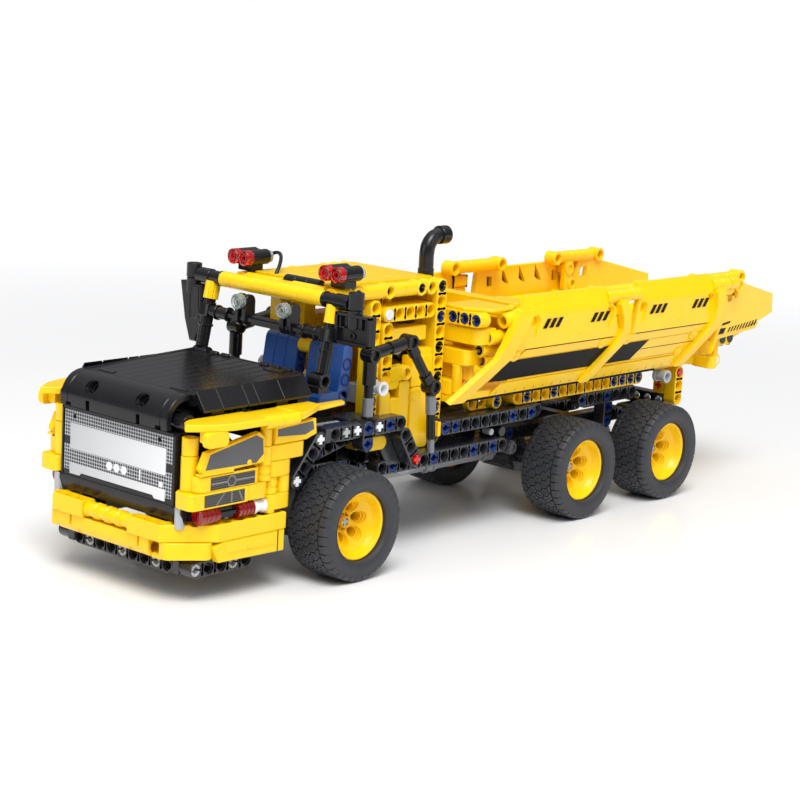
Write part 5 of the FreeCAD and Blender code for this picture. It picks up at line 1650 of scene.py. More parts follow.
# --- fenders over the front wheels ----------------------------------------------
B = Build()
T = Build()
W = Build()
P = Build()
RR = Build()
for s in (1, -1):
    x = s * 48.0
    f = x + s * 3.9
    up = Vector((0, 16.0, 20.0)).normalized()
    foot = Vector((x, -171.5, 51.5))
    beam(B, 4, foot, up, X)
    kn = foot + up * 24.0
    beam(B, 3, (x, -146.5, 71.5), Y, X)
    block(B, x - 3.8, x + 3.8, -153.2, -149.6, 67.8, 75.2, 0.2)
    beam(B, 2, (x, -122.5, 71.5), -Z, X)
    beam(B, 3, (x, -114.5, 71.5), Y, X)
    dn = Vector((0, 0.53, -0.85)).normalized()
    beam(B, 3, Vector((x, -98.5, 71.5)) + dn * 8.0, dn, X)
    # a second row set further in
    beam(B, 4, (s * 40.0, -150.0, 61.6), (0, 0.97, 0.24), X)
    for p, mt in ((foot, W), (kn, W), (Vector((x, -138.5, 71.5)), T), (Vector((x, -130.5, 71.5)), W),
                  (Vector((x, -114.5, 71.5)), W), (Vector((x, -106.5, 71.5)), P),
                  (Vector((x, -122.5, 71.5)), P), (Vector((x, -122.5, 63.5)), P),
                  (Vector((s * 40.0, -150.0, 61.6)), P)):
        q = Vector((p.x + s * 3.9, p.y, p.z))
        if mt is P:
            peg(P, q, (s, 0, 0))
        else:
            peg_axle(mt, q, (s, 0, 0), 0, 0.3)
    peg_axle(RR, Vector((x, -98.5, 71.5)) + dn * 24.0 + X * (s * 3.9), (s, 0, 0), 0, 1.2)
B.done("fender_beams", "frame", DGR, ["front_fenders"])
T.done("fender_pins_grey", "frame", LGR)
W.done("fender_pins_white", "frame", WHT)
RR.done("fender_pin_red", "frame", REDP)

B = Build()
for s in (1, -1):
    plan_x(B, [(-175.8, 50.6), (-160.0, 73.3), (-114.6, 73.3), (-114.6, 69.5), (-157.5, 69.5),
               (-172.6, 48.2)][::-1], s * 28.3, s * 43.9, 0.5)
    block(B, s * 36.2, s * 43.9, -114.5, -99.2, 69.5, 73.3, 0.5)
    block(B, s * 31.2, s * 43.9, -128.0, -112.0, 73.2, 75.6, 0.5, 0, 1.0, "z")
    plan_x(B, [(-112.0, 69.4), (-100.0, 69.4), (-86.4, 47.8), (-98.4, 47.8)][::-1],
           s * 40.2, s * 43.8, 0.4)
B.done("fender_shells", "frame", DGR, ["fender_panels"])
B = Build()
Yc = Build()
for s in (1, -1):
    plan_z(B, [(s * 36.0, -157.0), (s * 43.4, -159.0), (s * 42.4, -132.0), (s * 37.6, -131.0)],
           73.3, 74.3, 0.2)
    v, f_ = slab(capsule(8.0, 3.6), 38.0, 44.4, 0.4)
    Yc.add(v, f_, basis((0, -112.0, 60.8), Y, X) if s > 0 else
           Matrix.Diagonal((-1, 1, 1, 1)) @ basis((0, -112.0, 60.8), Y, X))
B.done("fender_strip", "frame", WHT)
Yc.done("fender_joint", "frame", YEL)

# --- beams along the sides ------------------------------------------------------
B = Build()
G = Build()
for s in (1, -1):
    beam(B, 13, (s * 40.0, -102.0, 47.0), Y, X)
    beam(B, 10, (s * 40.0, -54.0, 62.0), Y, X)
    beam(B, 2, (s * 38.6, 18.0, 62.0), Y, X, 5.0)
    for i in (1, 5, 9, 11):
        peg(P, (s * 43.9, -102.0 + 8.0 * i, 47.0), (s, 0, 0))
    for i in (0, 1, 7, 9):
        peg(P, (s * 43.9, -54.0 + 8.0 * i, 62.0), (s, 0, 0))
    bar(B, (s * 24.0, 3.0, 44.0), (s * 43.6, 3.0, 44.0), 3.8)
    sleeve(B, (s * 43.4, 3.0, 44.0), (s * 44.3, 3.0, 44.0), 3.2, 2.0)
    bar(B, (s * 26.0, -2.0, 53.0), (s * 40.0, -2.0, 53.0), 2.9)
    bar(G, (s * 36.0, -13.0, 54.4), (s * 41.6, -13.0, 54.4), 1.9)
    plan_x(G, [(-88.0, 43.2), (-64.0, 43.2), (-72.0, 40.2), (-80.0, 39.6)][::-1], s * 30.0,
           s * 38.0, 0.4)
B.done("side_beams", "frame", DGR, ["lower_side_beams", "upper_side_beams"])
P.done("side_pins", "frame", SHADED_BLUE)
G.done("side_grey", "frame", LGR)
B = Build()
for s in (1, -1):
    block(B, s * 36.3, s * 43.6, -60.2, -58.0, 58.2, 65.8, 0.2)
B.done("side_yellow_end", "frame", YEL)
B = Build()
for s in (1, -1):
    for x0, x1 in ((20.0, 27.9), (28.1, 36.0)):
        block(B, s * x0, s * x1, -98.0, -4.0, 45.1, 50.8, 0.4)
        block(B, s * x0, s * x1, -50.0, 28.0, 60.1, 65.8, 0.4)
    for i in range(5):
        block(B, s * 20.0, s * 23.8, -49.9 + 8.8 * i, -41.3 + 8.8 * i, 47.0, 62.0, 0.3)
B.done("deck_plates", "frame", DGR, ["side_decks"])

# --- exhaust --------------------------------------------------------------------
B = Build()
pts = [(20.0, -49.9, 118.4), (20.0, -49.9, 132.0), (20.0, -49.9, 145.0), (20.0, -49.9, 151.0)] + \
    [(20.0, -40.9 - 9.0 * math.cos(math.radians(a)), 151.0 + 9.0 * math.sin(math.radians(a)))
     for a in (30, 60)] + [(20.0, -40.9, 160.0)]
hose(B, pts, 3.95, n=20, sub=6)
sleeve(B, (20.0, -41.4, 160.0), (20.0, -35.0, 160.0), 4.9, 3.2, ch=0.4)
bar(B, (20.0, -41.0, 160.0), (20.0, -38.6, 160.0), 3.3)
block(B, 16.1, 23.9, -54.0, -49.9, 118.2, 125.8, 0.4)
sleeve(B, (20.0, -49.9, 139.0), (20.0, -49.9, 143.0), 4.3, 3.6)
B.done("exhaust_bend", "frame", BLK, ["exhaust_pipe"])

# --- dump bed -------------------------------------------------------------------
S27, C27 = math.sin(math.radians(27)), math.cos(math.radians(27))
S3, C3 = math.sin(math.radians(3)), math.cos(math.radians(3))
RUN1, RUN2 = 29.0, 18.8
FX, FZ = 44.0 + RUN1 * S27, 78.2 + RUN1 * C27
LOWM = basis((44.0, 0, 78.2), Y, (C27, 0, -S27))
HIGHM = basis((FX, 0, FZ), Y, (C3, 0, -S3))


def on_low(y, h, t):
    return LOWM @ Vector((y, h, t))


def on_high(y, h, t):
    return HIGHM @ Vector((y, h, t))


def band(B, stations, mat=0):
    """Loops of equal length joined into one solid."""
    n = len(stations[0])
    v = [tuple(p) for lp in stations for p in lp]
    f = []
    for k in range(len(stations) - 1):
        for i in range(n):
            j = (i + 1) % n
            f.append([k * n + i, k * n + j, (k + 1) * n + j, (k + 1) * n + i])
    f.append(list(range(n))[::-1])
    f.append([(len(stations) - 1) * n + i for i in range(n)])
    B.add(v, f, None, mat)


def sweep_y(B, prof, front, rear):
    """Profile in (X, Z) run along Y between two slanted ends."""
    band(B, [[Vector((x, front(z), z)) for x, z in prof],
             [Vector((x, rear(z), z)) for x, z in prof]])


fr = lambda z: -42.0 + (z - 78.2) * 0.43 if z < FZ else -32.0 + (z - FZ) * 0.96
re_ = lambda z: 150.0 + (z - 78.2) * 0.85 if z < FZ else 171.0 + (z - FZ) * 0.69

# lower skin
B = Build()
v, f = slab([(0.0, 0.0), (150.0, 0.0), (172.0, RUN1), (-31.0, RUN1)], 0.0, 2.3, 0.25)
B.add(v, f, LOWM)
# ledge along the bottom and strips above it
for y0, y1 in ((-24.0, 62.4), (62.8, 149.0)):
    v, f = slab([(y0, -0.6), (y1, -0.6), (y1 + 5.5, 7.2), (y0 + 5.5, 7.2)], 2.2, 3.6, 0.45)
    B.add(v, f, LOWM)
for y0, y1 in ((-14.0, 55.0), (73.0, 149.0)):
    v, f = slab([(y0, 7.6), (y1, 7.6), (y1 + 0.8, 8.7), (y0 + 0.8, 8.7)], 2.2, 3.0, 0.15)
    B.add(v, f, LOWM)
for y0, y1 in ((-24.0, 69.0), (68.0, 155.0)):
    v, f = slab([(y0, 8.9), (y1, 8.9), (y1 + 9.0, 22.4), (y0 + 9.0, 22.4)], 2.2, 2.9, 0.2)
    B.add(v, f, LOWM)
    v, f = slab([(y0 + 10.0, 22.8), (y1 + 10, 22.8), (y1 + 13.5, 28.4), (y0 + 13.5, 28.4)], 2.2,
                3.2, 0.25)
    B.add(v, f, LOWM)
v, f = slab([(118.0, 15.6), (159.5, 15.6), (160.0, 16.0), (118.0, 16.0)], 2.8, 2.95, 0)
B.add(v, f, LOWM)
for y, h in ((-18.0, 25.0), (58.5, 25.0), (82.0, 25.0), (150.0, 21.0), (143.0, 9.5)):
    v, f = rod(3.4, 3.5, 0.5, 22)
    B.add(v, f, LOWM @ Matrix.Translation((y, h, 0.4)))
    v, f = rod(1.3, 4.0, 0.3, 14)
    B.add(v, f, LOWM @ Matrix.Translation((y, h, 0.4)))
sweep_y(B, [(44.1, 76.1), (46.3, 76.1), (46.3, 79.4), (44.1, 79.4)], lambda z: -42.0,
        lambda z: 130.0)
B.both()
B.done("bed_low_skins", "bed", YEL, ["bed_side_panels"])

# upper panels: outer face bulges, top face leans in to the rail
prof = [(FX + 0.1, FZ - 1.4), (FX + 2.7, FZ - 1.6), (FX + 3.2, FZ + 1.5), (FX + 3.5, FZ + 6.0),
        (FX + 3.7, FZ + 11.0), (FX + 3.8, FZ + 15.0), (FX + 3.4, FZ + 18.0), (FX + 2.6, FZ + 20.2),
        (57.6, 130.6), (55.8, 131.0), (55.2, 130.0), (FX + 0.6, FZ + 18.0)]
for k, (y0, y1, s) in enumerate(((-26.0, 70.5, 1), (84.0, 168.0, 1), (-26.0, 70.5, -1),
                                 (84.0, 168.0, -1))):
    B = Build()
    pr = prof if k < 2 else prof[:7] + [(FX + 1.6, FZ + 19.6), (FX + 0.4, FZ + 19.0)] + prof[-1:]
    a = (lambda q, g: (lambda z: q + (z - FZ) * g))(y0, 0.50 if k % 2 == 0 else 0.15)
    b = (lambda q, g: (lambda z: q - (z - FZ) * g))(y1, 0.45 if k % 2 == 0 else 0.30)
    sweep_y(B, pr, a, b)
    if s < 0:
        B2 = Build()
        B2.join(B, Matrix.Diagonal((-1, 1, 1, 1)))
        B = B2
    C = Build()
    hy = (-5.6, 60.2) if k % 2 == 0 else (91.5, 151.5 if k == 3 else 158.4)
    for y in hy:
        drill(C, (s * (FX + 3.75), y, 116.8), (-s, 0, 0), 2.6, 2.6, 3.6, 1.0)
        v, f = slab([(-1.9, -7.4), (1.0, -8.0), (3.0, -2.0), (-2.6, -2.0)], 0, 5.0, 0)
        C.add(v, f, basis((s * (FX + 2.6), y, 116.6), Y, X) if s > 0 else
              Matrix.Diagonal((-1, 1, 1, 1)) @ basis((FX + 2.6, y, 116.6), Y, X))
    if s < 0 and k == 3:
        SH = Build()
        for y, z, tri in ((98.0, 114.6, 0), (112.7, 117.4, 1), (128.9, 117.4, 1), (144.4, 117.4, 1),
                          (161.3, 114.4, 0)):
            pk = [(-2.9, 5.6), (-2.9, -2.4), (3.0, -5.8), (3.8, -4.6)] if tri else \
                [(-2.4, -3.0), (2.4, -2.4), (2.4, 3.0), (-2.4, 3.4)]
            v, f = slab(pk, 0, 4.4, 0)
            C.add(v, f, basis((-(FX + 3.1), y, z), Y, X))
            v, f = slab([(a * 0.98, b * 0.98) for a, b in pk], 0.02, 0.2, 0)
            SH.add(v, f, basis((-(FX + 3.1), y, z), Y, X))
        SH.done("bed_pocket_shade", "bed", BRN)
    ob = B.done("bed_upper_%d" % k, "bed", YEL)
    carve(ob, C)
B = Build()
for y in (34.0, 128.0):
    v, f = slab(arc_pts(0, 0, 1.3, 0, 330, 11), 0, 0.9, 0.35)
    B.add(v, f, basis((FX + 3.0, y, 108.4), Y, X))
for y, z in ((72.0, 113.0), (180.0, 116.4)):
    # short pieces that join the panels behind the ribs
    block(B, 56.0, 60.4, y - 8.0, y + 4.0, z + 0.2, z + 7.6, 0.4, 0, 3.0, "y")
for ya, yb in ((57.6, 67.4), (67.7, 79.4), (79.7, 88.6)):
    bar(B, (58.6, ya, 125.0), (58.6, yb, 125.0), 3.7)
bar(B, (58.8, 160.6, 124.6), (58.8, 169.0, 124.4), 3.7)
bar(B, (58.8, 169.3, 124.4), (58.8, 178.0, 124.2), 3.7)
sleeve(B, (56.0, 188.6, 122.6), (61.2, 188.6, 122.6), 4.0, 2.4)
bar(B, (59.2, 178.2, 124.6), (58.6, 187.0, 123.8), 3.8)
# tube ends at the front of the rail
sleeve(B, (56.4, -28.6, 118.4), (56.8, -9.0, 121.4), 4.1, 2.6)
sleeve(B, (55.4, -22.0, 112.6), (55.4, -8.0, 112.6), 3.9, 2.5)
B.both()
B.done("bed_rail_joints", "bed", YEL)

# ribs bent over the fold
B = Build()
for y0, y1, y2, w in ((-59.0, -33.0, -22.0, 12.0), (52.0, 71.5, 67.5, 7.5),
                      (143.6, 162.0, 163.0, 9.0)):
    st = []
    for k, (h, y) in enumerate(((0.2, y0), (RUN1 * 0.5, (y0 + y1) / 2), (RUN1 * 0.88, y0 + (y1 - y0) * 0.88))):
        st.append([on_low(y, h, 2.8), on_low(y + w, h, 2.8), on_low(y + w - 0.35, h, 5.9),
                   on_low(y + 0.35, h, 5.9)])
    for h, y, bul in ((2.6, y1 + (y2 - y1) * 0.14, 0.6), (9.0, y1 + (y2 - y1) * 0.48, 1.2),
                      (RUN2 - 2.0, y2 - 1.5, 0.8), (RUN2 + 1.0, y2, 0.1)):
        st.append([on_high(y, h, 1.2), on_high(y + w, h, 1.2),
                   on_high(y + w - 0.35, h, 4.9 + bul), on_high(y + 0.35, h, 4.9 + bul)])
    band(B, st)
B.both()
B.done("bed_bands", "bed", YEL, ["bed_ribs"], angle=24)

# prints
B = Build()


def patch(M, pts, t, th=0.14):
    v, f = slab([(a, b) for a, b in pts], t, t + th, 0)
    B.add(v, f, M)


patch(LOWM, [(-30.5, 9.2), (58.3, 9.2), (68.0, 22.1), (-20.8, 22.1)], 2.9)
patch(LOWM, [(68.8, 9.2), (95.6, 9.2), (105.2, 22.1), (78.4, 22.1)], 2.9)
for y0 in (0.5, 97.5):
    for i in range(6):
        y = y0 + 5.3 * i + (26.0 if i > 2 else 0.0)
        patch(basis((FX + 3.72, 0, FZ), Y, (0.9998, 0, -0.018)),
              [(y, 8.6), (y + 3.1, 8.6), (y + 6.6, 13.6), (y + 3.5, 13.6)], -0.02, 0.18)
B.both()
B.done("bed_prints", "bed", PRINT_AND_SEAM_SHADE)
# thin near-black strips along the joints and under the ledge: painted shade in the gaps between parts
B = Build()
for i in range(20):
    y = -20.0 + 8.0 * i
    if 60 < y < 66:
        continue
    v, f = slab([(y, 0.6), (y + 0.3, 0.6), (y + 0.9, 2.0), (y + 0.6, 2.0)], 3.58, 3.66, 0)
    B.add(v, f, LOWM)
v, f = slab([(88.0, 15.65), (157.0, 15.65), (157.2, 16.05), (88.2, 16.05)], 2.88, 2.96, 0)
B.add(v, f, LOWM)
sweep_y(B, [(43.0, 74.4), (44.9, 74.4), (44.9, 76.2), (43.0, 76.2)], lambda z: -41.8,
        lambda z: 129.8)
for y0, h0, L0 in ((-22.0, 8.1, 9.0), (49.0, 8.1, 7.0), (69.5, 8.1, 7.5), (90.0, 8.1, 8.0),
                   (-13.0, 22.45, 9.0), (61.0, 22.45, 8.0), (82.0, 22.45, 6.0), (108.0, 22.45, 9.0),
                   (140.0, 8.1, 8.0), (150.0, 22.45, 9.0)):
    v, f = slab([(y0, h0), (y0 + L0, h0), (y0 + L0 + 0.4, h0 + 0.75), (y0 + 0.5, h0 + 0.75)], 2.28, 2.36, 0)
    B.add(v, f, LOWM)
for y0, y1 in ((-12.0, 66.0), (88.0, 158.0)):
    v, f = slab([(y0, 28.45), (y1, 28.45), (y1, 28.85), (y0, 28.85)], 3.1, 3.3, 0)
    B.add(v, f, LOWM)
B.both()
B.done("bed_seam_shade", "bed", PRINT_AND_SEAM_SHADE)

# inside of the bed: beams along the fold and the floor planks
B = Build()
for a, b in ((-20.0, 70.0), (97.0, 154.0)):
    block(B, 48.6, 55.0, a, b, 98.4, 105.8, 0.4, 0, 3.0, "y")
    for y in (a - 3.6, b + 3.6):
        sleeve(B, (46.6, y, 102.4), (54.8, y, 102.4), 4.0, 2.45)
for y0, z in ((60.0, 126.4), (157.0, 126.4)):
    for k, (a, b) in enumerate(((0, 11.8), (12.0, 23.8), (24.0, 35.0))):
        bar(B, (53.6, y0 + a, z), (53.6, y0 + b, z), 3.7)
    for y in (y0 - 4.0, y0 + 39.0):
        sleeve(B, (48.8, y, z), (57.0, y, z), 4.2, 2.6)
for y in (165.0,):
    for z in (119.0, 109.5):
        sleeve(B, (50.0, y + (126 - z) * 0.35, z), (57.6, y + (126 - z) * 0.35, z), 4.0, 2.45)
    block(B, 51.0, 54.6, 163.6, 171.4, 104.0, 126.0, 0.4, 0, 3.0, "x")
for y in (72.0,):
    v, f = slab([(y, 2.0), (y + 7.0, 2.0), (y + 14.0, RUN1 - 1), (y + 7.0, RUN1 - 1)], -1.6, 0.2, 0.3)
    B.add(v, f, LOWM)
B.both()
B.done("bed_inner_beams", "bed", YEL)

B = Build()
for i in range(11):
    x0 = -44.0 + 8.0 * i
    plan_x(B, [(-48.4, 78.1), (-48.4, 74.3), (172.0, 74.3), (231.8, 91.6), (231.8, 95.4),
               (171.0, 78.1)][::-1], x0 + 0.06, x0 + 7.94, 0.3)
B.done("bed_planks", "bed", YEL, ["bed_floor"])

# stepped front wall
B = Build()
P = Build()
for i in range(6):
    hx = 41.5 + 3.6 * i if i < 4 else 53.5 + 0.8 * (i - 3)
    y0 = -48.5 + 6.8 * i
    z0 = 78.2 + 8.0 * i
    v, f = slab([(-hx + 3.9, y0), (hx - 3.9, y0)] + [(hx - 3.9 + 3.9 * math.sin(math.radians(a)),
                y0 + 4.4 - 4.4 * math.cos(math.radians(a))) for a in (30, 60, 90, 120, 150, 180)] +
                [(-hx + 3.9, y0 + 8.8)] + [(-hx + 3.9 - 3.9 * math.sin(math.radians(a)),
                y0 + 4.4 + 4.4 * math.cos(math.radians(a))) for a in (30, 60, 90, 120, 150)],
                z0 + 0.06, z0 + 7.94, 0.4)
    B.add(v, f)
    for s in (1, -1):
        if i in (0, 2, 4, 5):
            sleeve(B, (s * (hx - 2.6), y0 + 12.4, z0 + 4.0), (s * (hx + 0.2), y0 + 12.4, z0 + 4.0),
                   3.9, 2.45)
            peg(P, (s * (hx + 0.2), y0 + 12.4, z0 + 4.0), (s, 0, 0))
    if i == 5:
        for s in (1, -1):
            block(B, s * 30.0, s * (hx - 2.0), y0 + 8.6, y0 + 16.4, z0, z0 + 7.8, 0.4)
            for k in (0, 1):
                peg(P, (s * (hx + 0.2), y0 + 4.4 - 8.0 * k, z0 + 4.0), (s, 0, 0))
                sleeve(B, (s * (hx - 2.6), y0 + 4.4 - 8.0 * k, z0 + 4.0),
                       (s * (hx + 0.2), y0 + 4.4 - 8.0 * k, z0 + 4.0), 3.9, 2.45)
for s in (1, -1):
    bar(B, (s * 41.4, -44.8, 80.0), (s * 41.4, -44.8, 94.6), 2.9)
    # corner stack in front of the slope
    for z0, z1, y0, y1, x0, x1 in ((94.6, 102.9, -46.6, -33.0, 30.0, 48.4),
                                   (106.4, 114.8, -45.6, -31.0, 30.0, 54.6)):
        pl = [(x0, y0), (x1 - 4.0, y0)] + [(x1 - 4.0 + 4.0 * math.sin(math.radians(a)),
              y0 + 4.0 - 4.0 * math.cos(math.radians(a))) for a in (25, 50, 75, 90)] + \
            [(x1, y1), (x0, y1)]
        v, f = slab([(s * a, b) for a, b in pl], z0, z1, 0.4)
        B.add(v, f)
    block(B, s * 30.0, s * 46.0, -36.0, -30.0, 102.9, 106.4, 0.2)
    # beam lying across the top, its pins showing to the front
    beam(B, 3, (s * 38.0, -43.4, 119.8), (s, 0, 0), Y, 7.8)
    for x in (38.0, 46.0, 54.0):
        peg(P, (s * x, -47.3, 119.8), (0, -1, 0))
    plan_z(B, [(s * 30.0, -46.6), (s * 45.0, -46.6), (s * 57.0, -38.0), (s * 57.0, -20.0),
               (s * 30.0, -20.0)], 123.8, 125.6, 0.3)
    for x, y, z in ((53.4, -36.4, 109.6), (49.4, -38.0, 102.6), (48.6, -34.6, 96.6)):
        sleeve(B, (s * x, y, z), (s * x, y + 13.0, z), 3.9, 2.45)
        peg(P, (s * x, y, z), (0, -1, 0))
B.done("bed_front_steps", "bed", YEL, ["bed_front_wall"])
P.done("bed_front_pins", "bed", SHADED_BLUE)

# tail panels
TM = Matrix.Translation((54.6, 172.0, 78.2)) @ Matrix.Rotation(math.radians(7.5), 4, "Z") @ \
    basis((0, 0, 0), Y, X)

TAIL_Y = 247.5
B = Build()
C = Build()
main = [(-1.0, 16.0), (22.0, 14.6), (56.0, 17.8), (TAIL_Y - 172.0, 21.5), (TAIL_Y - 173.5, 33.5),
        (24.0, 45.5), (10.0, 49.0), (1.0, 27.0)]
v, f = slab(main, 0.2, 3.9, 0.5)
B.add(v, f, TM)
drill(C, TM @ Vector((21.0, 38.6, 3.9)), TM.to_3x3() @ Vector((0, 0, -1)), 2.4, 2.3, 3.0, 0.8)
v, f = slab([(10.0, 34.0), (15.8, 34.6), (16.6, 41.4), (10.6, 40.0)], -1.0, 6.0, 0)
C.add(v, f, TM)
for s in (1, -1):
    BB = Build()
    CC = Build()
    D = Matrix.Diagonal((s, 1, 1, 1))
    BB.join(B, D)
    CC.join(C, D)
    ob = BB.done("bed_tail_%s" % ("left" if s > 0 else "right"), "bed", YEL,
                 ["bed_tail_panels"] if s > 0 else [])
    carve(ob, CC)
B = Build()
low = [(-6.0, 3.2), (2.0, 12.5), (56.0, 13.5), (TAIL_Y - 173.0, 21.3), (54.0, 18.4), (22.0, 15.4),
       (-0.6, 17.0)]
v, f = slab([(-4.4, 4.4), (2.4, 12.4), (54.0, 13.6), (58.0, 17.0), (22.0, 16.6), (0.0, 17.6)],
            0.4, 3.3, 0.4)
B.add(v, f, TM)
block(B, 45.0, 49.6, 178.0, 204.0, 84.2, 92.0, 0.3, 0, 3.6, "x")
for y in (176.0, 184.0):
    fluted(B, (48.2, y, 79.9), (48.2, y, 88.6), 3.7, 4, low=0.3)
v, f = slab(capsule(8.0, 3.9), 72.5, 79.8, 0.4)
B.add(v, f, Matrix.Translation((44.6, 176.0, 0)))
v, f = slab(capsule(8.0, 3.9), 40.3, 52.0, 0.4)
B.add(v, f, basis((0, 176.0, 76.2), Y, X))
block(B, 33.0, 40.2, 172.3, 187.6, 72.6, 78.0, 0.4)
B.both()
B.done("bed_tail_parts", "bed", YEL)
P = Build()
W = Build()
for s in (1, -1):
    peg_axle(W, (s * 52.0, 184.0, 76.2), (s, 0, 0), 0, 0.25)
    for y in (184.0, 192.0, 200.0):
        v, f = turn([(0, 2.1), (0.3, 2.4), (0.3, 3.0), (0, 3.1)], 18)
        bar(P, (s * 49.7, y, 88.1), (s * 49.95, y, 88.1), 2.9)
        bar(P, (s * 47.0, y, 84.2), (s * 47.0, y, 83.9), 2.7)
B = Build()
for i in range(10):
    y = 13.0 + 4.0 * i
    v, f = slab([(y, 15.6 + 0.05 * i), (y + 1.6, 15.6 + 0.05 * i), (y + 4.6, 18.4 + 0.12 * i),
                 (y + 3.0, 18.4 + 0.12 * i)], 3.92, 4.06, 0)
    B.add(v, f, TM)
v, f = slab([(1.0, 15.6), (7.8, 15.4), (10.8, 18.6), (3.6, 18.8)], 3.92, 4.06, 0)
B.add(v, f, TM)
v, f = slab([(5.0, 20.4), (15.4, 21.0), (16.4, 22.2), (6.4, 21.8)], 3.92, 4.06, 0)
B.add(v, f, TM)
B.both()
B.done("bed_tail_print", "bed", PRINT_AND_SEAM_SHADE)
P.done("bed_tail_pins", "bed", BLK)
W.done("bed_tail_cross", "bed", WHT)

# beams under the bed
B = Build()
P = Build()
for s in (1, -1):
    beam(B, 15, (s * 36.0, 10.0, 70.2), Y, X)
    beam(B, 3, (s * 34.0, -24.0, 70.2), Y, X, 4.0)
    beam(B, 1, (s * 36.0, -8.0, 70.2), Y, X)
    for i in (1, 4, 11, 12, 13, 14):
        peg(P, (s * 39.9, 10.0 + 8.0 * i, 70.2), (s, 0, 0))
    peg(P, (s * 39.9, -8.0, 70.2), (s, 0, 0))
for y in (-24.0, -8.0, 18.0, 50.0, 82.0, 114.0):
    for x0, x1 in ((-32.0, -7.0), (7.0, 32.0)) if y == 82.0 else ((-32.0, 32.0),):
        block(B, x0, x1, y - 3.8, y + 3.8, 66.6 if abs(y) > 60 else 70.4, 74.2, 0.4)
B.done("bed_long_beams", "bed", YEL, ["bed_beams"])
P.done("bed_beam_pins", "bed", SHADED_BLUE)

# --- chassis --------------------------------------------------------------------
B = Build()
P = Build()
for s in (1, -1):
    for k, (y, n) in enumerate(((-218.0, 15), (-97.9, 15), (22.2, 15), (142.3, 3))):
        beam(B, n, (s * 16.0, y, 44.0), Y, X)
    for y in (-210.0, -114.0, -105.9, -90.0, 14.2, 30.2, 134.2, 150.3):
        peg(P, (s * 19.9, y, 44.0), (s, 0, 0))
B.done("rail_beams", "frame", DGR, ["chassis_rails"])

B = Build()
beam(B, 9, (-32.0, -102.0, 51.8), X, Y)
beam(B, 9, (-32.0, 158.0, 51.8), X, Y)
for s in (1, -1):
    beam(B, 1, (s * 46.0, -194.0, 36.2), X, Y)
    block(B, s * 42.3, s * 49.7, -197.8, -190.2, 32.4, 40.0, 0.4)
    beam(B, 7, (s * 33.0, 74.0, 61.0), Y, X, 6.0)
    block(B, s * 21.0, s * 30.0, 104.2, 111.8, 57.2, 64.8, 0.4)
    beam(B, 3, (s * 26.0, 108.0, 44.0), Z, X, 7.8)
    beam(B, 3, (s * 9.0, -19.0, 46.0), Y, X, 3.8)
    for i in (0, 3):
        peg(P, (s * 36.0, 74.0 + 8.0 * i, 61.0), (s, 0, 0))
    for z in (44.0, 52.0):
        peg(P, (s * 29.9, 108.0, z), (s, 0, 0))
block(B, -12.0, 12.0, 86.2, 93.8, 40.3, 47.7, 0.4)
block(B, -12.0, 12.0, -29.8, -22.2, 40.3, 47.7, 0.4)
B.done("cross_beams", "frame", DGR, ["chassis_frame"])
P.done("chassis_pins", "frame", SHADED_BLUE)
G = Build()
bar(G, (-10.9, 0, 46), (10.9, 0, 46), 2.35)
G.done("hoist_foot_pin", "frame", LGR)

# drive line
B = Build()
G = Build()
Yb = Build()
for y in (50.0, 130.0):
    v, f = turn([(0.2, 7.0), (1.2, 8.6), (5.5, 8.8), (6.2, 8.2), (11.0, 8.0), (18.0, 8.0),
                 (18.8, 8.8), (23.0, 8.6), (24.0, 7.2), (24.0, 2.6), (0.2, 2.6)], 28)
    B.add(v, f, basis((-12.0, y, 28.0), Y, X))
    block(B, -8.0, 8.0, y - 8.8, y + 8.8, 30.0, 39.8, 0.5, 0, 1.5, "z")
    block(B, -11.9, 11.9, y - 4.0, y + 4.0, 19.0, 39.8, 0.5)
    for s in (1, -1):
        ribbed(B, (s * 12.0, y, 28.0), (s * 20.0, y, 28.0), 4.4, 3)
        sleeve(G, (s * 20.1, y, 28.0), (s * 24.0, y, 28.0), 3.7, 2.75)
        sleeve(B, (s * 24.0, y, 28.0), (s * 32.0, y, 28.0), 4.4, 2.75)
B.done("axle_housings", "frame", DGR, ["drivetrain"])
B = Build()
block(B, -9.9, 9.9, -111.8, -84.2, 20.2, 47.8, 0.6)
for y in (-108.0, -98.0, -88.0):
    block(B, -10.4, 10.4, y - 2.6, y + 2.6, 20.6, 40.0, 0.4)
v, f = turn([(0, 0), (0, 7.4), (0.4, 7.8), (3.4, 7.8), (3.8, 7.4), (3.8, 0)], 16, False)
B.add(v, f, basis((0, -83.9, 28.0), X, Y))
B.done("gearbox", "frame", BLK)
axle(G, (0, -83.0, 28.0), (0, 41.0, 28.0))
axle(G, (0, 59.0, 28.0), (0, 121.2, 28.0))
for y in (-76.0, -20.0, 30.0, 66.0, 106.0):
    bush(G, (0, y, 28.0), (0, 1, 0), L=7.8)
G.done("drive_shafts", "frame", LGR)

# posts that carry the bed's hinge
B = Build()
P = Build()
for s in (1, -1):
    beam(B, 3, (s * 40.0, 158.0, 54.0), Z, X)
    block(B, s * 28.2, s * 35.9, 154.2, 161.8, 55.8, 64.8, 0.4)
    peg_axle(P, (s * 43.9, 158.0, 70.0), (s, 0, 0), 0, 0.4)
    peg_axle(P, (s * 32.0, 154.2, 60.8), (0, -1, 0), 0, 0.4, 2.0)
B.done("hinge_posts", "frame", YEL, ["rear_posts"])
P.done("hinge_cross", "frame", REDP)
B = Build()
bar(B, (-43.0, 158.0, 70.0), (43.0, 158.0, 70.0), 2.38)
B.done("hinge_bar", "frame", LGR, ["bed_hinge_pin"])
B = Build()
for s in (1, -1):
    bush(B, (s * 40.2, 138.5, 70.2), (s, 0, 0), L=8.6, r=3.9)
B.done("bed_grey_bush", "bed", LGR)

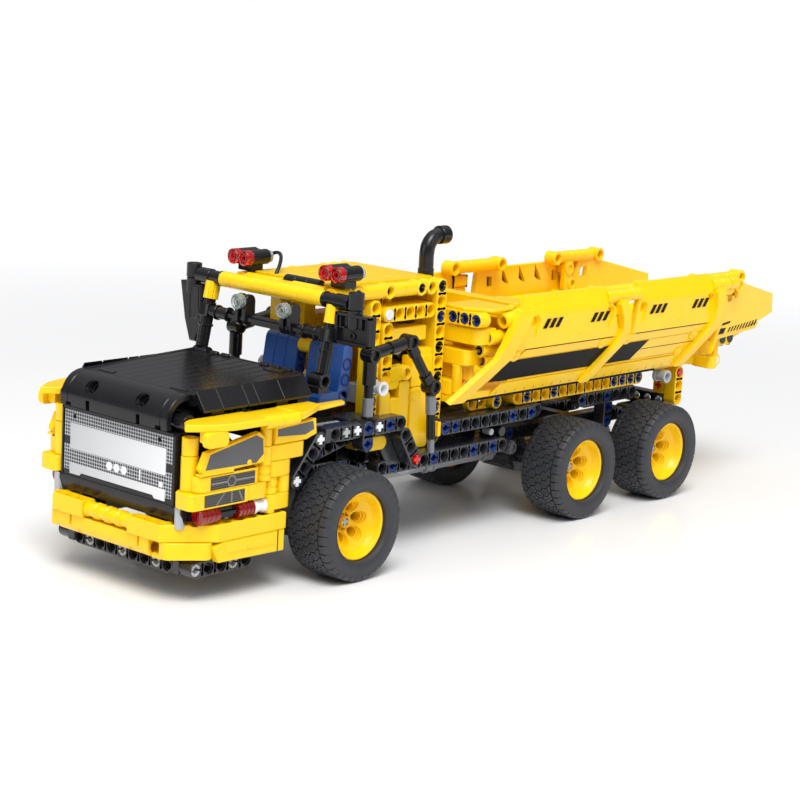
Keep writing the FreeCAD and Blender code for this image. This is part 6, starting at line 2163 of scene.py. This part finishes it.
# --- front axle -----------------------------------------------------------------
fa, kz = -142.0, 28.0
KX = 36
B = Build()
for s in (1, -1):
    for z in (kz + 11.6, kz - 11.6):
        v, f = slab(capsule(KX - 20.0, 4.4), z - 2.4, z + 2.4, 0.35)
        M = Matrix.Translation((20.0, fa, 0))
        o = Build()
        o.add(v, f, M)
        if s < 0:
            q = Build()
            q.join(o, Matrix.Diagonal((-1, 1, 1, 1)))
            o = q
        B.join(o)
for x in (-23.4, -15.6, -7.8, 0.0, 7.8, 15.6, 23.4):
    block(B, x - 3.6, x + 3.6, fa - 5.0, fa + 5.0, kz - 10.0, 40.0, 0.4)
block(B, -26.0, 26.0, fa - 4.4, fa + 4.4, kz - 9.4, 39.6, 0.4)
B.done("axle_carrier_parts", "frame", DGR, ["front_axle_carrier"])
for s, nm in ((1, "left"), (-1, "right")):
    x = s * KX
    B = Build()
    v, f = slab(rect(-4.0, 4.0, -6.0, 6.0, 2.0, 3), kz - 8.7, kz + 8.7, 0.4)
    B.add(v, f, Matrix.Translation((x, fa, 0)))
    bar(B, (x, fa, kz - 13.6), (x, fa, kz + 13.6), 2.35)
    v, f = slab(capsule(11.0, 3.5), kz - 8.7, kz - 4.7, 0.35)
    B.add(v, f, basis((x, fa + 5.0, 0), Y, Z))
    B.done("knuckle_" + nm + "_parts", "knuckle_" + nm, DGR, ["knuckle_" + nm])
    G = Build()
    sleeve(G, (x + s * 3.2, fa, kz), (x + s * 6.6, fa, kz), 3.6, 2.75)
    G.done("knuckle_" + nm + "_bush", "knuckle_" + nm, LGR)
B = Build()
v, f = slab(capsule(2 * KX, 2.95), kz - 13.2, kz - 9.3, 0.35)
B.add(v, f, Matrix.Translation((-KX, fa + 16.0, 0)))
for s in (1, -1):
    bar(B, (s * KX, fa + 16.0, kz - 10.0), (s * KX, fa + 16.0, kz - 3.6), 1.38)
B.done("tie_rod", "steering_link", LGR, ["steering_link"])

# --- hoist ----------------------------------------------------------------------
H0 = Vector((0, 0, 46))
H1 = Vector((0, 98, 69))
hd = (H1 - H0).normalized()
HM2 = basis(H0, X, hd)
B = Build()
v, f = turn([(9.0, 3.2), (9.0, 6.4), (9.6, 7.0), (16.0, 7.0), (16.4, 6.5), (73.0, 6.5), (73.4, 7.0),
             (79.4, 7.0), (80.0, 6.4), (80.0, 3.3), (79.0, 3.1), (20.0, 3.1), (20.0, 0.0), (9.0, 0)],
            32, False)
B.add(v, f, HM2)
v, f = turn([(0.6, 3.6), (1.0, 4.0), (9.3, 4.0), (9.3, 0.0), (0.6, 0.0)], 24, False)
B.add(v, f, HM2 @ Matrix.Translation((0, 0, 4.0)))
sleeve(B, H0 - X * 6.6, H0 + X * 6.6, 4.2, 2.55)
B.done("hoist_tube", "hoist_barrel", LGR, ["hoist_barrel"], weld=0.002)
B = Build()
L = (H1 - H0).length
bar(B, H0 + hd * 26.0, H0 + hd * (L - 2.6), 2.98)
sleeve(B, H1 - X * 4.6, H1 + X * 4.6, 3.4, 2.4)
bar(B, H1 - X * 4.4, H1 + X * 4.4, 2.45)
B.done("hoist_piston", "hoist_rod", LGR, ["hoist_rod"])
B = Build()
for s in (1, -1):
    block(B, s * 5.1, s * 8.7, 93, 103, 64, 74.3, 0.3, 0, 3.0, "x")
    plan_x(B, [(150.1, 70.0), (151.6, 66.8), (154.8, 65.7), (158.0, 65.7), (161.2, 66.8),
               (162.0, 70.0), (162.0, 79.2), (150.1, 77.2)][::-1] if False else
           [(150.1, 70.0), (153.8, 68.8), (153.6, 72.6), (158.0, 74.4), (161.9, 70.2),
            (161.9, 79.2), (150.1, 77.1)][::-1], s * 28.2, s * 35.8, 0.3)
    sleeve(B, (s * 28.1, 158.0, 70.0), (s * 35.9, 158.0, 70.0), 4.35, 2.7)
B.done("bed_lugs", "bed", YEL, ["bed_ears"])


# --- remaining CAD nodes: their own moulded colours ----------------------------
BYNAME = {"yellow_plastic": YEL, "dark_grey_plastic": DGR, "black_plastic": BLK,
          "light_grey_plastic": LGR, "blue_plastic": BLU, "red_clear_plastic": RED, "tyre": TYR}
for sub in frame["record"]["subparts"]:
    ob = frame["nodes"][sub["node"]]
    ob.data.materials.clear()
    ob.data.materials.append(BYNAME[sub["material_slot"]])

# --- floor and light ------------------------------------------------------------


def stage():
    me = bpy.data.meshes.new("floor")
    s = 12.0
    me.from_pydata([(-s, -s, 0), (s, -s, 0), (s, s, 0), (-s, s, 0)], [], [[0, 1, 2, 3]])
    m, nt, b = nodes_of("floor_pale")
    n, l = nt.nodes, nt.links
    tc = n.new("ShaderNodeTexCoord")
    w = n.new("ShaderNodeTexNoise")
    w.inputs["Scale"].default_value = 3
    l.new(tc.outputs["Object"], w.inputs["Vector"])
    mix = n.new("ShaderNodeMix")
    mix.data_type = "RGBA"
    mix.inputs[6].default_value = (0.90, 0.90, 0.905, 1)
    mix.inputs[7].default_value = (0.93, 0.93, 0.935, 1)
    l.new(w.outputs["Fac"], mix.inputs[0])
    l.new(mix.outputs[2], b.inputs["Base Color"])
    b.inputs["Roughness"].default_value = 0.20
    b.inputs["Specular IOR Level"].default_value = 0.35
    far = n.new("ShaderNodeVectorMath")
    far.operation = "LENGTH"
    l.new(tc.outputs["Object"], far.inputs[0])
    glow = n.new("ShaderNodeMapRange")
    glow.interpolation_type = "SMOOTHSTEP"
    glow.inputs["From Min"].default_value = 0.35
    glow.inputs["From Max"].default_value = 1.6
    glow.inputs["To Min"].default_value = 0.0
    glow.inputs["To Max"].default_value = 0.45
    l.new(far.outputs["Value"], glow.inputs["Value"])
    b.inputs["Emission Color"].default_value = (1, 1, 1, 1)
    l.new(glow.outputs["Result"], b.inputs["Emission Strength"])
    me.materials.append(m)
    ob = bpy.data.objects.new("floor", me)
    SCENE.collection.objects.link(ob)
    world = bpy.data.worlds.new("studio")
    SCENE.world = world
    world.use_nodes = True
    wt = world.node_tree
    bg = wt.nodes["Background"]
    bg.inputs[0].default_value = (0.97, 0.98, 1.0, 1)
    tc = wt.nodes.new("ShaderNodeTexCoord")
    sep = wt.nodes.new("ShaderNodeSeparateXYZ")
    up = wt.nodes.new("ShaderNodeMapRange")
    up.inputs["From Min"].default_value = 0.0
    up.inputs["From Max"].default_value = 0.9
    up.inputs["To Min"].default_value = 0.10
    up.inputs["To Max"].default_value = 0.62
    wt.links.new(tc.outputs["Generated"], sep.inputs[0])
    wt.links.new(sep.outputs[2], up.inputs["Value"])
    wt.links.new(up.outputs["Result"], bg.inputs[1])
    seen = wt.nodes.new("ShaderNodeBackground")
    seen.inputs[0].default_value = (1, 1, 1, 1)
    seen.inputs[1].default_value = 1.0
    lp = wt.nodes.new("ShaderNodeLightPath")
    pick = wt.nodes.new("ShaderNodeMixShader")
    wt.links.new(lp.outputs["Is Camera Ray"], pick.inputs[0])
    wt.links.new(bg.outputs[0], pick.inputs[1])
    wt.links.new(seen.outputs[0], pick.inputs[2])
    wt.links.new(pick.outputs[0], wt.nodes["World Output"].inputs[0])
    su = bpy.data.lights.new("wide", "SUN")
    su.energy = 2.35
    su.angle = math.radians(32)
    so = bpy.data.objects.new("wide", su)
    SCENE.collection.objects.link(so)
    so.rotation_euler = Vector((-0.45, 0.40, -1.0)).to_track_quat("-Z", "Y").to_euler()

    def area(name, loc, target, size, power, color=(1, 1, 1)):
        la = bpy.data.lights.new(name, "AREA")
        la.shape = "RECTANGLE"
        la.size, la.size_y = size
        la.energy = power
        la.color = color
        o = bpy.data.objects.new(name, la)
        SCENE.collection.objects.link(o)
        o.location = loc
        d = Vector(target) - Vector(loc)
        o.rotation_euler = d.to_track_quat("-Z", "Y").to_euler()

    area("key", (0.55, -0.75, 0.95), (0, -0.02, 0.05), (0.9, 0.7), 4.0, (1, 0.99, 0.97))
    area("fill", (1.1, 0.25, 0.55), (0, 0.05, 0.07), (0.8, 0.6), 1.6)
    area("front", (-0.35, -1.2, 0.45), (0, -0.1, 0.06), (0.6, 0.5), 2.0)
    area("top", (0.0, 0.1, 1.2), (0, 0, 0), (1.2, 1.2), 2.5)


stage()
